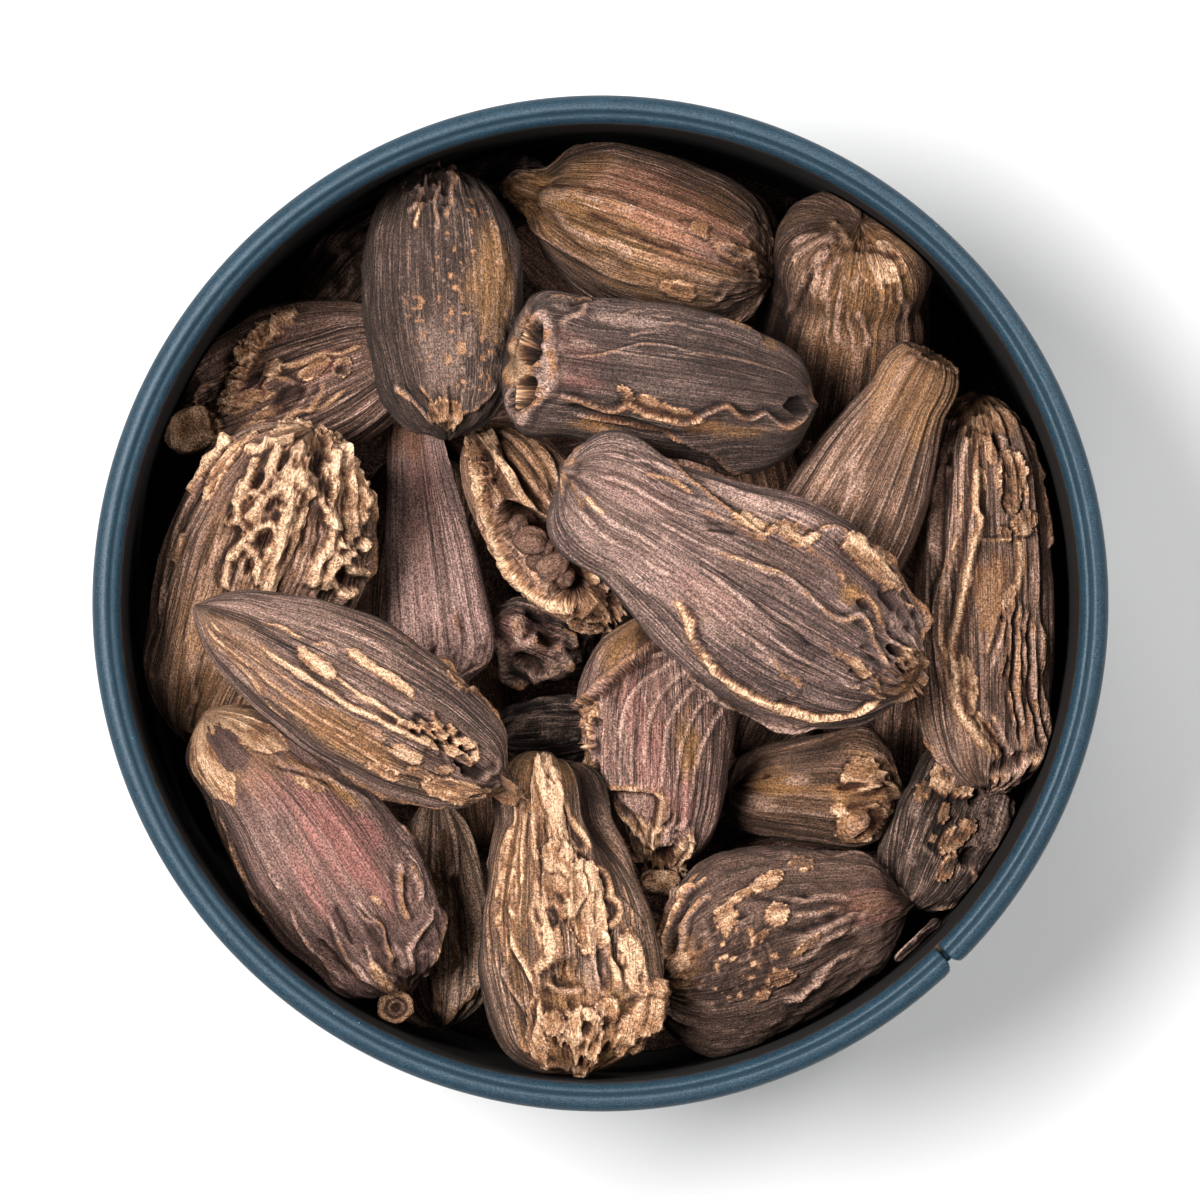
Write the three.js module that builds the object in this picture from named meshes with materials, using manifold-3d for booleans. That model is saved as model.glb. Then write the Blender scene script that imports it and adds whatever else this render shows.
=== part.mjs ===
// A round painted tin with a rolled rim, filled with black cardamom pods.
// Millimetres, +Z up. The origin is the centre of the tin's underside.

import * as THREE from 'three';
import { mergeVertices } from 'three/addons/utils/BufferGeometryUtils.js';
import Module from 'manifold-3d';

const wasm = await Module();
wasm.setup();

// ---------------------------------------------------------------- driving dimensions

const rimDiameter = 95;
const tinHeight = 41;
const wall = 0.6;
const beadDiameter = 2.7;
const baseEdgeRadius = 1.2;
const tinSegments = 48;

const seamAzimuth = -45.6;
const seamSlit = 0.35;
const seamNotch = 0.9;
const seamNotchDepth = 0.7;

const gap = 0.35;
const bedHeight = 7.2;
const bedLump = 1.6;
const bedLumps = 14;
const bedRings = 7;
const bedSectors = 28;

const podSides = 16;
const podRings = 9;
const smallPodSides = 12;
const smallPodRings = 7;

// The heap is settled on a square grid of surface heights.
const settleCell = 0.5;
const settleReach = 46;
const tiltStep = 3;

// ---------------------------------------------------------------- worked-out dimensions

const beadRadius = beadDiameter / 2;
const rimRadius = rimDiameter / 2;
const wallInside = rimRadius - beadDiameter;
const wallOutside = wallInside + wall;
const beadCentreRadius = rimRadius - beadRadius;
const beadCentreHeight = tinHeight - beadRadius;
const heapRadius = wallInside - gap;

// ---------------------------------------------------------------- materials

const paint = { color: 0x5a7488, roughness: 0.45, metalness: 0.25 };
const darkHusk = { color: 0x4b3f3a, roughness: 0.85, metalness: 0 };
const brownHusk = { color: 0x6a4f3a, roughness: 0.85, metalness: 0 };
const redHusk = { color: 0x7a5652, roughness: 0.85, metalness: 0 };
const tanHusk = { color: 0x9a7a56, roughness: 0.85, metalness: 0 };
const seedSkin = { color: 0x5f4a3c, roughness: 0.8, metalness: 0 };

const part = new THREE.Group();

function addMesh(name, geometry, look) {
  const mesh = new THREE.Mesh(geometry, new THREE.MeshStandardMaterial(look));
  mesh.name = name;
  part.add(mesh);
  return mesh;
}

// ---------------------------------------------------------------- solids and booleans

function solidFrom(geometry) {
  const bare = geometry.clone();
  bare.deleteAttribute('normal');
  bare.deleteAttribute('uv');
  const merged = mergeVertices(bare, 1e-4);
  return new wasm.Manifold(new wasm.Mesh({
    numProp: 3,
    vertProperties: new Float32Array(merged.attributes.position.array),
    triVerts: new Uint32Array(merged.index.array),
  }));
}

function geometryFrom(solid) {
  const mesh = solid.getMesh();
  const geometry = new THREE.BufferGeometry();
  geometry.setAttribute('position', new THREE.Float32BufferAttribute(mesh.vertProperties, 3));
  geometry.setIndex(new THREE.Uint32BufferAttribute(mesh.triVerts, 1));
  geometry.computeVertexNormals();
  return geometry;
}

const radians = THREE.MathUtils.degToRad;

// ---------------------------------------------------------------- tin

function tinProfile() {
  const points = [new THREE.Vector2(0, 0)];
  const edgeSteps = 2;
  for (let i = 0; i <= edgeSteps; i += 1) {
    const angle = -Math.PI / 2 + (Math.PI / 2) * (i / edgeSteps);
    points.push(new THREE.Vector2(
      wallOutside - baseEdgeRadius + baseEdgeRadius * Math.cos(angle),
      baseEdgeRadius + baseEdgeRadius * Math.sin(angle),
    ));
  }
  // The bead curls outwards: it leaves the wall's outer face and comes back to its inner face.
  const beadStart = -Math.acos((wallOutside - beadCentreRadius) / beadRadius);
  const beadSteps = 8;
  for (let i = 0; i <= beadSteps; i += 1) {
    const angle = beadStart + (Math.PI - beadStart) * (i / beadSteps);
    points.push(new THREE.Vector2(
      beadCentreRadius + beadRadius * Math.cos(angle),
      beadCentreHeight + beadRadius * Math.sin(angle),
    ));
  }
  points.push(new THREE.Vector2(wallInside, baseEdgeRadius));
  points.push(new THREE.Vector2(wallInside - baseEdgeRadius + wall, wall));
  points.push(new THREE.Vector2(0, wall));
  return points;
}

// A plain radial cutter for the seam, wider where it reaches the bead's outer contour.
function seamCutter() {
  const inner = wallOutside - wall / 2;
  const outer = rimRadius + 1;
  const notchStart = rimRadius - seamNotchDepth;
  const notchOuter = seamNotch * (outer - notchStart) / seamNotchDepth;
  const outline = new THREE.Shape([
    new THREE.Vector2(inner, -seamSlit / 2),
    new THREE.Vector2(notchStart, -seamSlit / 2),
    new THREE.Vector2(outer, -notchOuter / 2),
    new THREE.Vector2(outer, notchOuter / 2),
    new THREE.Vector2(notchStart, seamSlit / 2),
    new THREE.Vector2(inner, seamSlit / 2),
  ]);
  const cutter = new THREE.ExtrudeGeometry(outline, { depth: beadDiameter + 2, bevelEnabled: false });
  cutter.translate(0, 0, tinHeight - beadDiameter - 1);
  cutter.rotateZ(radians(seamAzimuth));
  return cutter;
}

function tin() {
  const lathe = new THREE.LatheGeometry(tinProfile(), tinSegments);
  lathe.rotateX(Math.PI / 2);
  return geometryFrom(solidFrom(lathe).subtract(solidFrom(seamCutter())));
}

addMesh('tin', tin(), paint);

// ---------------------------------------------------------------- settling

const cellsAcross = Math.ceil((2 * settleReach) / settleCell);
const heap = new Float32Array(cellsAcross * cellsAcross).fill(-1e3);

function cellOf(value) {
  return Math.floor((value + settleReach) / settleCell);
}

// Calls visit(cell, z) all over a geometry's faces, at steps finer than a cell.
function sweepFaces(geometry, visit) {
  const position = geometry.attributes.position;
  const index = geometry.index;
  const corner = [new THREE.Vector3(), new THREE.Vector3(), new THREE.Vector3()];
  const point = new THREE.Vector3();
  for (let face = 0; face < index.count; face += 3) {
    corner.forEach((vertex, k) => vertex.fromBufferAttribute(position, index.getX(face + k)));
    const longest = Math.max(
      corner[0].distanceTo(corner[1]),
      corner[1].distanceTo(corner[2]),
      corner[2].distanceTo(corner[0]),
    );
    const steps = Math.ceil(longest / (settleCell * 0.6));
    for (let i = 0; i <= steps; i += 1) {
      for (let j = 0; j <= steps - i; j += 1) {
        const a = i / steps;
        const b = j / steps;
        point.copy(corner[0]).multiplyScalar(1 - a - b);
        point.addScaledVector(corner[1], a).addScaledVector(corner[2], b);
        visit(cellOf(point.x) + cellsAcross * cellOf(point.y), point.z);
      }
    }
  }
}

// How far a geometry has to rise to lie just clear of everything already in the heap.
function restingRise(geometry) {
  let rise = -1e3;
  sweepFaces(geometry, (cell, z) => {
    rise = Math.max(rise, heap[cell] + gap - z);
  });
  return rise;
}

// Adds a geometry's upper surface to the heap, one cell wider all round.
function addToHeap(geometry) {
  sweepFaces(geometry, (cell, z) => {
    for (const neighbour of [0, 1, -1, cellsAcross, -cellsAcross]) {
      heap[cell + neighbour] = Math.max(heap[cell + neighbour], z);
    }
  });
}

// ---------------------------------------------------------------- bed of lower pods

// Rounded lumps on a sunflower spiral stand for the pods that lie below the visible ones.
function bedTop(x, y) {
  const goldenAngle = Math.PI * (3 - Math.sqrt(5));
  const lumpRadius = (1.15 * heapRadius) / Math.sqrt(bedLumps);
  let height = 0;
  for (let i = 0; i < bedLumps; i += 1) {
    const radius = heapRadius * Math.sqrt((i + 0.5) / bedLumps);
    const dx = x - radius * Math.cos(i * goldenAngle);
    const dy = y - radius * Math.sin(i * goldenAngle);
    const reach = Math.max(0, 1 - (dx * dx + dy * dy) / (lumpRadius * lumpRadius));
    height = Math.max(height, Math.sqrt(reach));
  }
  return bedHeight + bedLump * height;
}

function bed() {
  const bottom = wall + gap;
  const vertices = [0, 0, bedTop(0, 0)];
  const faces = [];
  for (let ring = 1; ring <= bedRings; ring += 1) {
    for (let sector = 0; sector < bedSectors; sector += 1) {
      const angle = (2 * Math.PI * sector) / bedSectors;
      const x = heapRadius * (ring / bedRings) * Math.cos(angle);
      const y = heapRadius * (ring / bedRings) * Math.sin(angle);
      vertices.push(x, y, bedTop(x, y));
    }
  }
  const start = (ring) => 1 + (ring - 1) * bedSectors;
  const next = (sector) => (sector + 1) % bedSectors;
  for (let sector = 0; sector < bedSectors; sector += 1) {
    faces.push(0, start(1) + sector, start(1) + next(sector));
    for (let ring = 1; ring < bedRings; ring += 1) {
      const a = start(ring) + sector;
      const b = start(ring) + next(sector);
      const c = start(ring + 1) + sector;
      const d = start(ring + 1) + next(sector);
      faces.push(a, c, d, a, d, b);
    }
  }
  // The foot ring stands in a little, clear of the rounded edge of the tin's floor.
  const foot = vertices.length / 3;
  const footRadius = heapRadius - baseEdgeRadius;
  for (let sector = 0; sector < bedSectors; sector += 1) {
    const angle = (2 * Math.PI * sector) / bedSectors;
    vertices.push(footRadius * Math.cos(angle), footRadius * Math.sin(angle), bottom);
  }
  const centre = vertices.length / 3;
  vertices.push(0, 0, bottom);
  for (let sector = 0; sector < bedSectors; sector += 1) {
    const a = start(bedRings) + sector;
    const b = start(bedRings) + next(sector);
    const c = foot + sector;
    const d = foot + next(sector);
    faces.push(a, c, d, a, d, b, centre, d, c);
  }
  const geometry = new THREE.BufferGeometry();
  geometry.setAttribute('position', new THREE.Float32BufferAttribute(vertices, 3));
  geometry.setIndex(faces);
  geometry.computeVertexNormals();
  return geometry;
}

const bedGeometry = bed();
addMesh('pod_bed', bedGeometry, darkHusk);
addToHeap(bedGeometry);

// ---------------------------------------------------------------- pods

// A pod lies along its own X, from its near end to its far end.
const plainPod = {
  depth: 0.88,       // height over width
  belly: 0.5,        // where it is widest, from 0 at the near end to 1 at the far end
  near: 0.35,        // width of the near end over the greatest width
  far: 0.35,         // width of the far end over the greatest width
  fullness: 1,       // below 1 for fuller sides, above 1 for a waisted pod
  nearCap: 0.3,      // part of the near half that rounds off
  farCap: 0.3,
  lobes: 0.05,       // depth of the three rounded corners
  ribs: 0.025,       // depth of the broad folds between them
  bend: 0,           // sideways bow
  sag: 0,            // upward bow
  roll: 0,
  pitch: 0,          // above 0 the far end is raised
  tilt: 12,          // most that it settles away from that pitch
  nubNear: 0,        // length of the stalk scar or the dried flower at an end
  nubFar: 0,
  nubWidth: 3,
  sides: podSides,
  rings: podRings,
};

function halfWidth(pod, t) {
  const nearSide = t < pod.belly;
  const fromEnd = nearSide ? t / pod.belly : (1 - t) / (1 - pod.belly);
  const end = nearSide ? pod.near : pod.far;
  const cap = nearSide ? pod.nearCap : pod.farCap;
  const swell = Math.sin((fromEnd * Math.PI) / 2) ** pod.fullness;
  const rounding = 1 - Math.min(1, fromEnd / cap);
  return (pod.width / 2) * (end + (1 - end) * swell) * Math.sqrt(1 - rounding * rounding);
}

function podRingStations(pod) {
  const stations = [];
  const body = pod.length - pod.nubNear - pod.nubFar;
  const nub = pod.nubWidth / 2;
  if (pod.nubNear > 0) {
    stations.push({ x: 0, r: nub * 0.85 }, { x: pod.nubNear * 0.9, r: nub * 0.8 });
  }
  const bodyRings = pod.rings - (pod.nubNear > 0 ? 2 : 0) - (pod.nubFar > 0 ? 2 : 0);
  for (let i = 0; i < bodyRings; i += 1) {
    const t = (1 - Math.cos((Math.PI * (i + 0.55)) / (bodyRings + 0.1))) / 2;
    stations.push({ x: pod.nubNear + body * t, r: halfWidth(pod, t), t });
  }
  if (pod.nubFar > 0) {
    const end = pod.length - pod.nubFar;
    stations.push({ x: end + pod.nubFar * 0.1, r: nub * 0.8 }, { x: pod.length, r: nub * 0.85 });
  }
  return stations;
}

function podGeometry(pod) {
  const vertices = [];
  const faces = [];
  const stations = podRingStations(pod);
  const addPoint = (x, y, z) => {
    const t = x / pod.length;
    const bow = 4 * t * (1 - t) - 0.5;
    vertices.push(x - pod.length / 2, y + pod.bend * bow, z + pod.sag * bow);
  };
  addPoint(0, 0, 0);
  for (const { x, r, t = 0 } of stations) {
    for (let side = 0; side < pod.sides; side += 1) {
      const angle = (2 * Math.PI * side) / pod.sides;
      const fold = Math.sin(Math.PI * t);
      const shape = 1 + fold * (pod.lobes * Math.cos(3 * angle) + pod.ribs * Math.cos(7 * angle + 4 * t));
      addPoint(x, r * shape * Math.cos(angle), r * shape * pod.depth * Math.sin(angle));
    }
  }
  addPoint(pod.length, 0, 0);
  const last = vertices.length / 3 - 1;
  const start = (ring) => 1 + ring * pod.sides;
  const next = (side) => (side + 1) % pod.sides;
  for (let side = 0; side < pod.sides; side += 1) {
    faces.push(0, start(0) + next(side), start(0) + side);
    for (let ring = 0; ring + 1 < stations.length; ring += 1) {
      const a = start(ring) + side;
      const b = start(ring) + next(side);
      const c = start(ring + 1) + side;
      const d = start(ring + 1) + next(side);
      faces.push(a, b, d, a, d, c);
    }
    const ring = stations.length - 1;
    faces.push(last, start(ring) + side, start(ring) + next(side));
  }
  const geometry = new THREE.BufferGeometry();
  geometry.setAttribute('position', new THREE.Float32BufferAttribute(vertices, 3));
  geometry.setIndex(faces);
  geometry.computeVertexNormals();
  return geometry;
}

// A smooth ellipsoid, with its half-sizes and its centre in the pod's own frame.
function ellipsoid([a, b, c], [x, y, z], turn = 0) {
  const shape = new THREE.SphereGeometry(1, 12, 8);
  shape.scale(a, b, c);
  shape.rotateZ(radians(turn));
  shape.translate(x, y, z);
  return shape;
}

function cutOut(geometry, cutters) {
  let solid = solidFrom(geometry);
  for (const cutter of cutters) {
    solid = solid.subtract(solidFrom(cutter));
  }
  return geometryFrom(solid);
}

// How far a geometry has to be pushed inwards, as a plan vector, to lie within the tin's wall.
function pushFromWall(geometry) {
  const position = geometry.attributes.position;
  const push = new THREE.Vector3();
  const point = new THREE.Vector3();
  for (let pass = 0; pass < 4; pass += 1) {
    const worst = { excess: 0, inwards: new THREE.Vector3() };
    for (let i = 0; i < position.count; i += 1) {
      point.fromBufferAttribute(position, i).add(push).setZ(0);
      const excess = point.length() - heapRadius;
      if (excess > worst.excess) {
        worst.excess = excess;
        worst.inwards.copy(point).normalize().negate();
      }
    }
    push.addScaledVector(worst.inwards, worst.excess);
  }
  return push;
}

// Sets a pod down in the heap at its place, tilted a little either way to where its middle lies lowest.
function settle(pod, geometry) {
  let best = { rise: 1e3 };
  for (let tilt = -pod.tilt; tilt <= pod.tilt; tilt += tiltStep) {
    const pose = new THREE.Matrix4().makeRotationFromEuler(
      new THREE.Euler(radians(pod.roll), -radians(pod.pitch + tilt), radians(pod.heading), 'ZYX'),
    );
    pose.setPosition(pod.at[0], pod.at[1], 0);
    const placed = geometry.clone().applyMatrix4(pose);
    const push = pushFromWall(placed);
    placed.translate(push.x, push.y, 0);
    const rise = restingRise(placed);
    if (rise < best.rise) {
      placed.translate(0, 0, rise);
      pose.premultiply(new THREE.Matrix4().makeTranslation(push.x, push.y, rise));
      best = { rise, pose, placed };
    }
  }
  addToHeap(best.placed);
  return best.pose;
}

function addPosed(name, geometry, look, pose) {
  const mesh = addMesh(name, geometry, look);
  mesh.applyMatrix4(pose);
  return mesh;
}

function addPod(name, look, sizes) {
  const pod = { ...plainPod, ...sizes };
  let geometry = podGeometry(pod);
  const pose = settle(pod, geometry);
  if (pod.hollows) {
    geometry = cutOut(geometry, pod.hollows.map((hollow) => ellipsoid(...hollow)));
  }
  addPosed(name, geometry, look, pose);
  return pose;
}

function addSmallPod(name, look, sizes) {
  return addPod(name, look, { sides: smallPodSides, rings: smallPodRings, ...sizes });
}

// Glimpsed in the gaps, lowest in the heap.
addSmallPod('pod_shrivelled', darkHusk, {
  at: [-5.9, -3.4], heading: -25, length: 10.2, width: 8.5, near: 0.6, far: 0.6, lobes: 0.12,
});
addSmallPod('pod_low_dark', darkHusk, {
  at: [-4.8, -12.2], heading: 5, length: 12, width: 7.5, near: 0.5, far: 0.5,
});
addSmallPod('pod_crescent', brownHusk, {
  at: [3.7, -4.8], heading: 70, length: 12.5, width: 6.8, bend: 1, near: 0.4, far: 0.3,
});
addSmallPod('pod_low_upper_left', brownHusk, {
  at: [-24.2, 32.0], heading: 50, length: 15, width: 8.5, near: 0.45, far: 0.4,
});
addSmallPod('pod_low_top', darkHusk, {
  at: [-10.5, 39.0], heading: 15, length: 14, width: 8, near: 0.45, far: 0.4,
});
addSmallPod('pod_low_right', brownHusk, {
  at: [31.4, 9.6], heading: -80, length: 17, width: 7.4, near: 0.5, far: 0.4,
});
addSmallPod('pod_low_bottom_left', brownHusk, {
  at: [-15.6, -29.6], heading: -89, length: 22.5, width: 10.5, belly: 0.7, near: 0.4, far: 0.6,
});
addSmallPod('pod_small_ochre', tanHusk, {
  at: [18.6, -17.9], heading: -3, length: 17.2, width: 11.5, belly: 0.8, near: 0.6, far: 0.8,
});
addSmallPod('pod_crumpled', darkHusk, {
  at: [34.9, -23.0], heading: -113, length: 17, width: 10.4, near: 0.55, far: 0.55, lobes: 0.1,
});

// The main layer.
addPod('pod_slender', redHusk, {
  at: [-16.5, 5.8], heading: -83, length: 27.5, width: 11, depth: 0.72, belly: 0.92,
  near: 0.4, nearCap: 0.1, farCap: 0.6, far: 0.8, fullness: 1.3,
});

// The split pod gapes upwards over its seeds.
const splitPose = addPod('pod_split', tanHusk, {
  at: [-5.4, 7.4], heading: -56, length: 23.5, width: 12, depth: 0.9, belly: 0.52, near: 0.45, far: 0.45,
  hollows: [[[7.2, 2.9, 4.2], [1.0, 0, 4.2]]],
});
addPosed('pod_split_seeds', ellipsoid([5.6, 1.9, 1.6], [1.0, 0, 2.2]), seedSkin, splitPose);

addPod('pod_left_upper', darkHusk, {
  at: [-30.4, 21.6], heading: 23, length: 26, width: 15.6, belly: 0.5, near: 0.4, far: 0.35,
});
addPod('pod_left_crusted', tanHusk, {
  at: [-33.2, 1.2], heading: -112, tilt: 18, length: 33.5, width: 19.8, depth: 0.72, belly: 0.38, near: 0.68, far: 0.5,
});
addPod('pod_top_right', tanHusk, {
  at: [25.8, 29.4], heading: 82, pitch: 45, tilt: 0, length: 26, width: 15.4, near: 0.4, far: 0.45,
});
addPod('pod_top', brownHusk, {
  at: [3.4, 35.4], heading: -20, length: 27.6, width: 17.4, belly: 0.52, near: 0.5, far: 0.7,
  nubNear: 2.6, nubWidth: 4.6,
});
addPod('pod_right', tanHusk, {
  at: [36.4, 1.2], heading: -89, length: 37.6, width: 13.4, belly: 0.6, near: 0.72, far: 0.7,
});
addPod('pod_centre_pink', redHusk, {
  at: [5.6, -14.5], heading: -91, length: 26, width: 14.8, depth: 0.78, belly: 0.4, near: 0.6, far: 0.4,
  nubFar: 2, nubWidth: 4,
});
addPod('pod_bottom_right', darkHusk, {
  at: [17.6, -32.9], heading: 14, length: 26.4, width: 18.6, depth: 0.84, belly: 0.38, near: 0.5, far: 0.16,
});
addPod('pod_lower_left', redHusk, {
  at: [-28.9, -25.2], heading: -57, bend: -0.6, length: 33.6, width: 16.4, depth: 0.86, belly: 0.6,
  near: 0.5, far: 0.35, nubFar: 1.6, nubWidth: 3,
});
addPod('pod_cone', brownHusk, {
  at: [25.4, 12.4], heading: -117, pitch: -22, length: 27.5, width: 14.2, belly: 0.76,
  near: 0.3, nearCap: 0.06, fullness: 1.2, far: 0.5,
});
addPod('pod_bottom', tanHusk, {
  at: [-3.8, -29.4], heading: -86, length: 31.2, width: 17.6, depth: 0.8, belly: 0.68,
  near: 0.3, nearCap: 0.12, far: 0.6, fullness: 1.15,
});

// The top layer.
addPod('pod_upper_left', darkHusk, {
  at: [-15.4, 28.9], heading: -87, length: 26.5, width: 16, depth: 0.86, belly: 0.45, near: 0.55, far: 0.55,
});
addPod('pod_open_mouth', darkHusk, {
  at: [6.0, 20.7], heading: -8, length: 29.6, width: 15, depth: 0.84, belly: 0.5,
  near: 0.68, nearCap: 0.16, far: 0.4,
  hollows: [[[3.4, 2.0, 2.4], [-14.2, 2.2, 0.6]], [[3.4, 2.0, 2.4], [-14.2, -2.2, 0.6]]],
});
addPod('pod_left_striped', darkHusk, {
  at: [-23.2, -8.6], heading: -30, length: 34.5, width: 14.6, depth: 0.86, belly: 0.6, near: 0.35, far: 0.55,
  nubFar: 2, nubWidth: 3.4,
});
addPod('pod_centre_big', darkHusk, {
  at: [13.0, 2.3], heading: -31, length: 39.6, width: 20.6, depth: 0.6, belly: 0.64,
  near: 0.4, nearCap: 0.16, far: 0.5, fullness: 1.15,
});

// A chip of husk leans on the wall beside the seam.
addPod('husk_chip', darkHusk, {
  at: [31.6, -33.6], heading: 43, roll: 72, tilt: 0, length: 5.8, width: 4.6, depth: 0.26, sides: 8, rings: 5,
});

export default part;
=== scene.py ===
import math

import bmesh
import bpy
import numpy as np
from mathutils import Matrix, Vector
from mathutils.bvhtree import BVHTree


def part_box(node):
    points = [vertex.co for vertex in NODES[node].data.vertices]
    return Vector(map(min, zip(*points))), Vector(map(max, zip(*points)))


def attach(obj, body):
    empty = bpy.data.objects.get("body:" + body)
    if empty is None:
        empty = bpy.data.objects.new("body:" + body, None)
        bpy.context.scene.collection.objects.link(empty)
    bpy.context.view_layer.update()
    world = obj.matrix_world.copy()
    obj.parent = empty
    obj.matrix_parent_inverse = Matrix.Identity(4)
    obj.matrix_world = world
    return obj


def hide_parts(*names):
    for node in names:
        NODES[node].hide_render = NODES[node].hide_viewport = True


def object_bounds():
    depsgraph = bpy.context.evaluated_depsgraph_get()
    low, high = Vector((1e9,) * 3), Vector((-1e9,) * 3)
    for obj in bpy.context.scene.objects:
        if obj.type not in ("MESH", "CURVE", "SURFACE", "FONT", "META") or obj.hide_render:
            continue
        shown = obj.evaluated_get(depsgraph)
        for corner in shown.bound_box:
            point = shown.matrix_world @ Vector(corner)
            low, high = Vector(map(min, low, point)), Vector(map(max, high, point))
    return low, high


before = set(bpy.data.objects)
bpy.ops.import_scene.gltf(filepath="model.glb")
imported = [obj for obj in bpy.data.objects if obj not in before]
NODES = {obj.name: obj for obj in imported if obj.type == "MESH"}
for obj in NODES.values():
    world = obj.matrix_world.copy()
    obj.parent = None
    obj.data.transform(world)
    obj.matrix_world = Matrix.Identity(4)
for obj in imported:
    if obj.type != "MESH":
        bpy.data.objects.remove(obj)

# A painted tin of black cardamom pods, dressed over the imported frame.
# Shapes are worked out in millimetres and written to the meshes in metres.
#
# Every pod is a Husk: a fine grid laid over its CAD solid. A pod's function calls the
# husk's methods one by one, and each adds relief and marks at a place on the pod. The
# marks (tan, red, ochre, dark, pale) steer the colours of its material.

CAD_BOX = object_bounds()
MM = 0.001
MARKS = ("tan", "red", "ochre", "dark", "pale")

# The tin, in millimetres and degrees. Its seam is the slit in the rolled rim.
SEAM_AZIMUTH = -45.6
WALL_INSIDE, WALL_OUTSIDE = 44.8, 45.4
IN_TIN = WALL_INSIDE - 0.2
BEAD_RADIUS, BEAD_CENTRE = 1.34, (46.12, 39.64)
BEAD_REACH = 46
BASE_EDGE, FLOOR_TOP = 1.2, 0.6
TIN_COLUMNS = 380

# The tallest husk stays this far below the top of the CAD model.
UNDER_TOP = 0.02


# ---------------------------------------------------------------- noise

def corner_value(ix, iy, iz, seed):
    """A repeatable value from -1 to 1 for each lattice corner."""
    h = (ix.astype(np.uint32) * np.uint32(0x8DA6B343)
         ^ iy.astype(np.uint32) * np.uint32(0xD8163841)
         ^ iz.astype(np.uint32) * np.uint32(0xCB1AB31F)
         ^ np.uint32((seed * 0x9E3779B1 + 0x7F4A7C15) & 0xFFFFFFFF))
    h = (h ^ (h >> np.uint32(15))) * np.uint32(0x2C1B3C6D)
    h = (h ^ (h >> np.uint32(12))) * np.uint32(0x297A2D39)
    h = h ^ (h >> np.uint32(15))
    return h.astype(np.float64) / 2147483647.5 - 1.0


def noise(points, seed):
    """Smooth noise from -1 to 1 at an array of points (..., 3)."""
    cell = np.floor(points)
    f = points - cell
    f = f * f * f * (f * (f * 6 - 15) + 10)
    ix, iy, iz = (cell[..., k].astype(np.int64) for k in range(3))
    total = 0.0
    for dx in (0, 1):
        wx = f[..., 0] if dx else 1 - f[..., 0]
        for dy in (0, 1):
            wy = f[..., 1] if dy else 1 - f[..., 1]
            for dz in (0, 1):
                wz = f[..., 2] if dz else 1 - f[..., 2]
                total = total + wx * wy * wz * corner_value(ix + dx, iy + dy, iz + dz, seed)
    return total


def fractal(points, octaves, seed, gain=0.5):
    """Several octaves of noise, still about -1 to 1."""
    total, size, amount = 0.0, 0.0, 1.0
    for k in range(octaves):
        total = total + amount * noise(points * 2.03 ** k, seed + 17 * k)
        size += amount
        amount *= gain
    return total / size * 1.3


def ridged(points, octaves, seed):
    """Noise with sharp crests: 1 on a crest, falling to 0."""
    total, size, amount = 0.0, 0.0, 1.0
    for k in range(octaves):
        total = total + amount * (1 - np.abs(noise(points * 2.1 ** k, seed + 31 * k)) * 1.7)
        size += amount
        amount *= 0.5
    return np.clip(total / size, 0, 1)


def ramp(x, low, high):
    """0 below low, 1 above high, smooth between."""
    t = np.clip((x - low) / (high - low), 0, 1)
    return t * t * (3 - 2 * t)


def eased(t, taper, start=-0.01):
    """1 along a line where t runs from 0 to 1, easing off over taper at both ends."""
    return ramp(t, start, taper) * ramp(1 - t, start, taper)


def cos_sin(degrees):
    """The cosine and the sine of an angle in degrees."""
    return math.cos(math.radians(degrees)), math.sin(math.radians(degrees))


def around(count):
    """Angles of count even steps round a circle."""
    return np.arange(count) * math.tau / count


def via(*hundredths):
    """Places (along, across) from pairs of hundredths."""
    return [(a / 100, x / 100) for a, x in zip(hundredths[::2], hundredths[1::2])]


# ---------------------------------------------------------------- mesh building

def make_mesh(name, verts, faces, attributes=None, vectors=None):
    """A smooth mesh object from points in millimetres, with named point attributes."""
    mesh = bpy.data.meshes.new(name)
    mesh.from_pydata((np.asarray(verts, float) * MM).tolist(), [], faces)
    for key, values in (attributes or {}).items():
        layer = mesh.attributes.new(key, "FLOAT", "POINT")
        layer.data.foreach_set("value", np.asarray(values, np.float32).ravel())
    for key, values in (vectors or {}).items():
        layer = mesh.attributes.new(key, "FLOAT_VECTOR", "POINT")
        layer.data.foreach_set("vector", np.asarray(values, np.float32).ravel())
    mesh.polygons.foreach_set("use_smooth", [True] * len(mesh.polygons))
    mesh.update()
    piece = bpy.data.objects.new(name, mesh)
    bpy.context.scene.collection.objects.link(piece)
    return piece


def place_piece(piece, material, node):
    """Gives a piece its material and body, and hides the CAD node it replaces."""
    piece.data.materials.append(material)
    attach(piece, "root")
    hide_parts(node)


def grid_faces(rows, cols, first=0, flip=False):
    """Quads of a grid of closed rings whose vertices run row by row."""
    r = np.arange(rows - 1)[:, None]
    c = np.arange(cols)[None, :]
    n = (c + 1) % cols
    quads = np.stack([r * cols + c, r * cols + n, (r + 1) * cols + n, (r + 1) * cols + c], -1)
    quads = quads.reshape(-1, 4) + first
    if flip:
        quads = quads[:, ::-1]
    return quads.tolist()


def blur_rows(a, times):
    """Smooths a grid along its rows' direction, ends kept."""
    for _ in range(times):
        a = np.concatenate([a[:1], (a[:-2] + 2 * a[1:-1] + a[2:]) / 4, a[-1:]])
    return a


def blur_ring(a, times):
    """Smooths a grid round its closed direction."""
    for _ in range(times):
        a = (np.roll(a, 1, 1) + 2 * a + np.roll(a, -1, 1)) / 4
    return a


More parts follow.
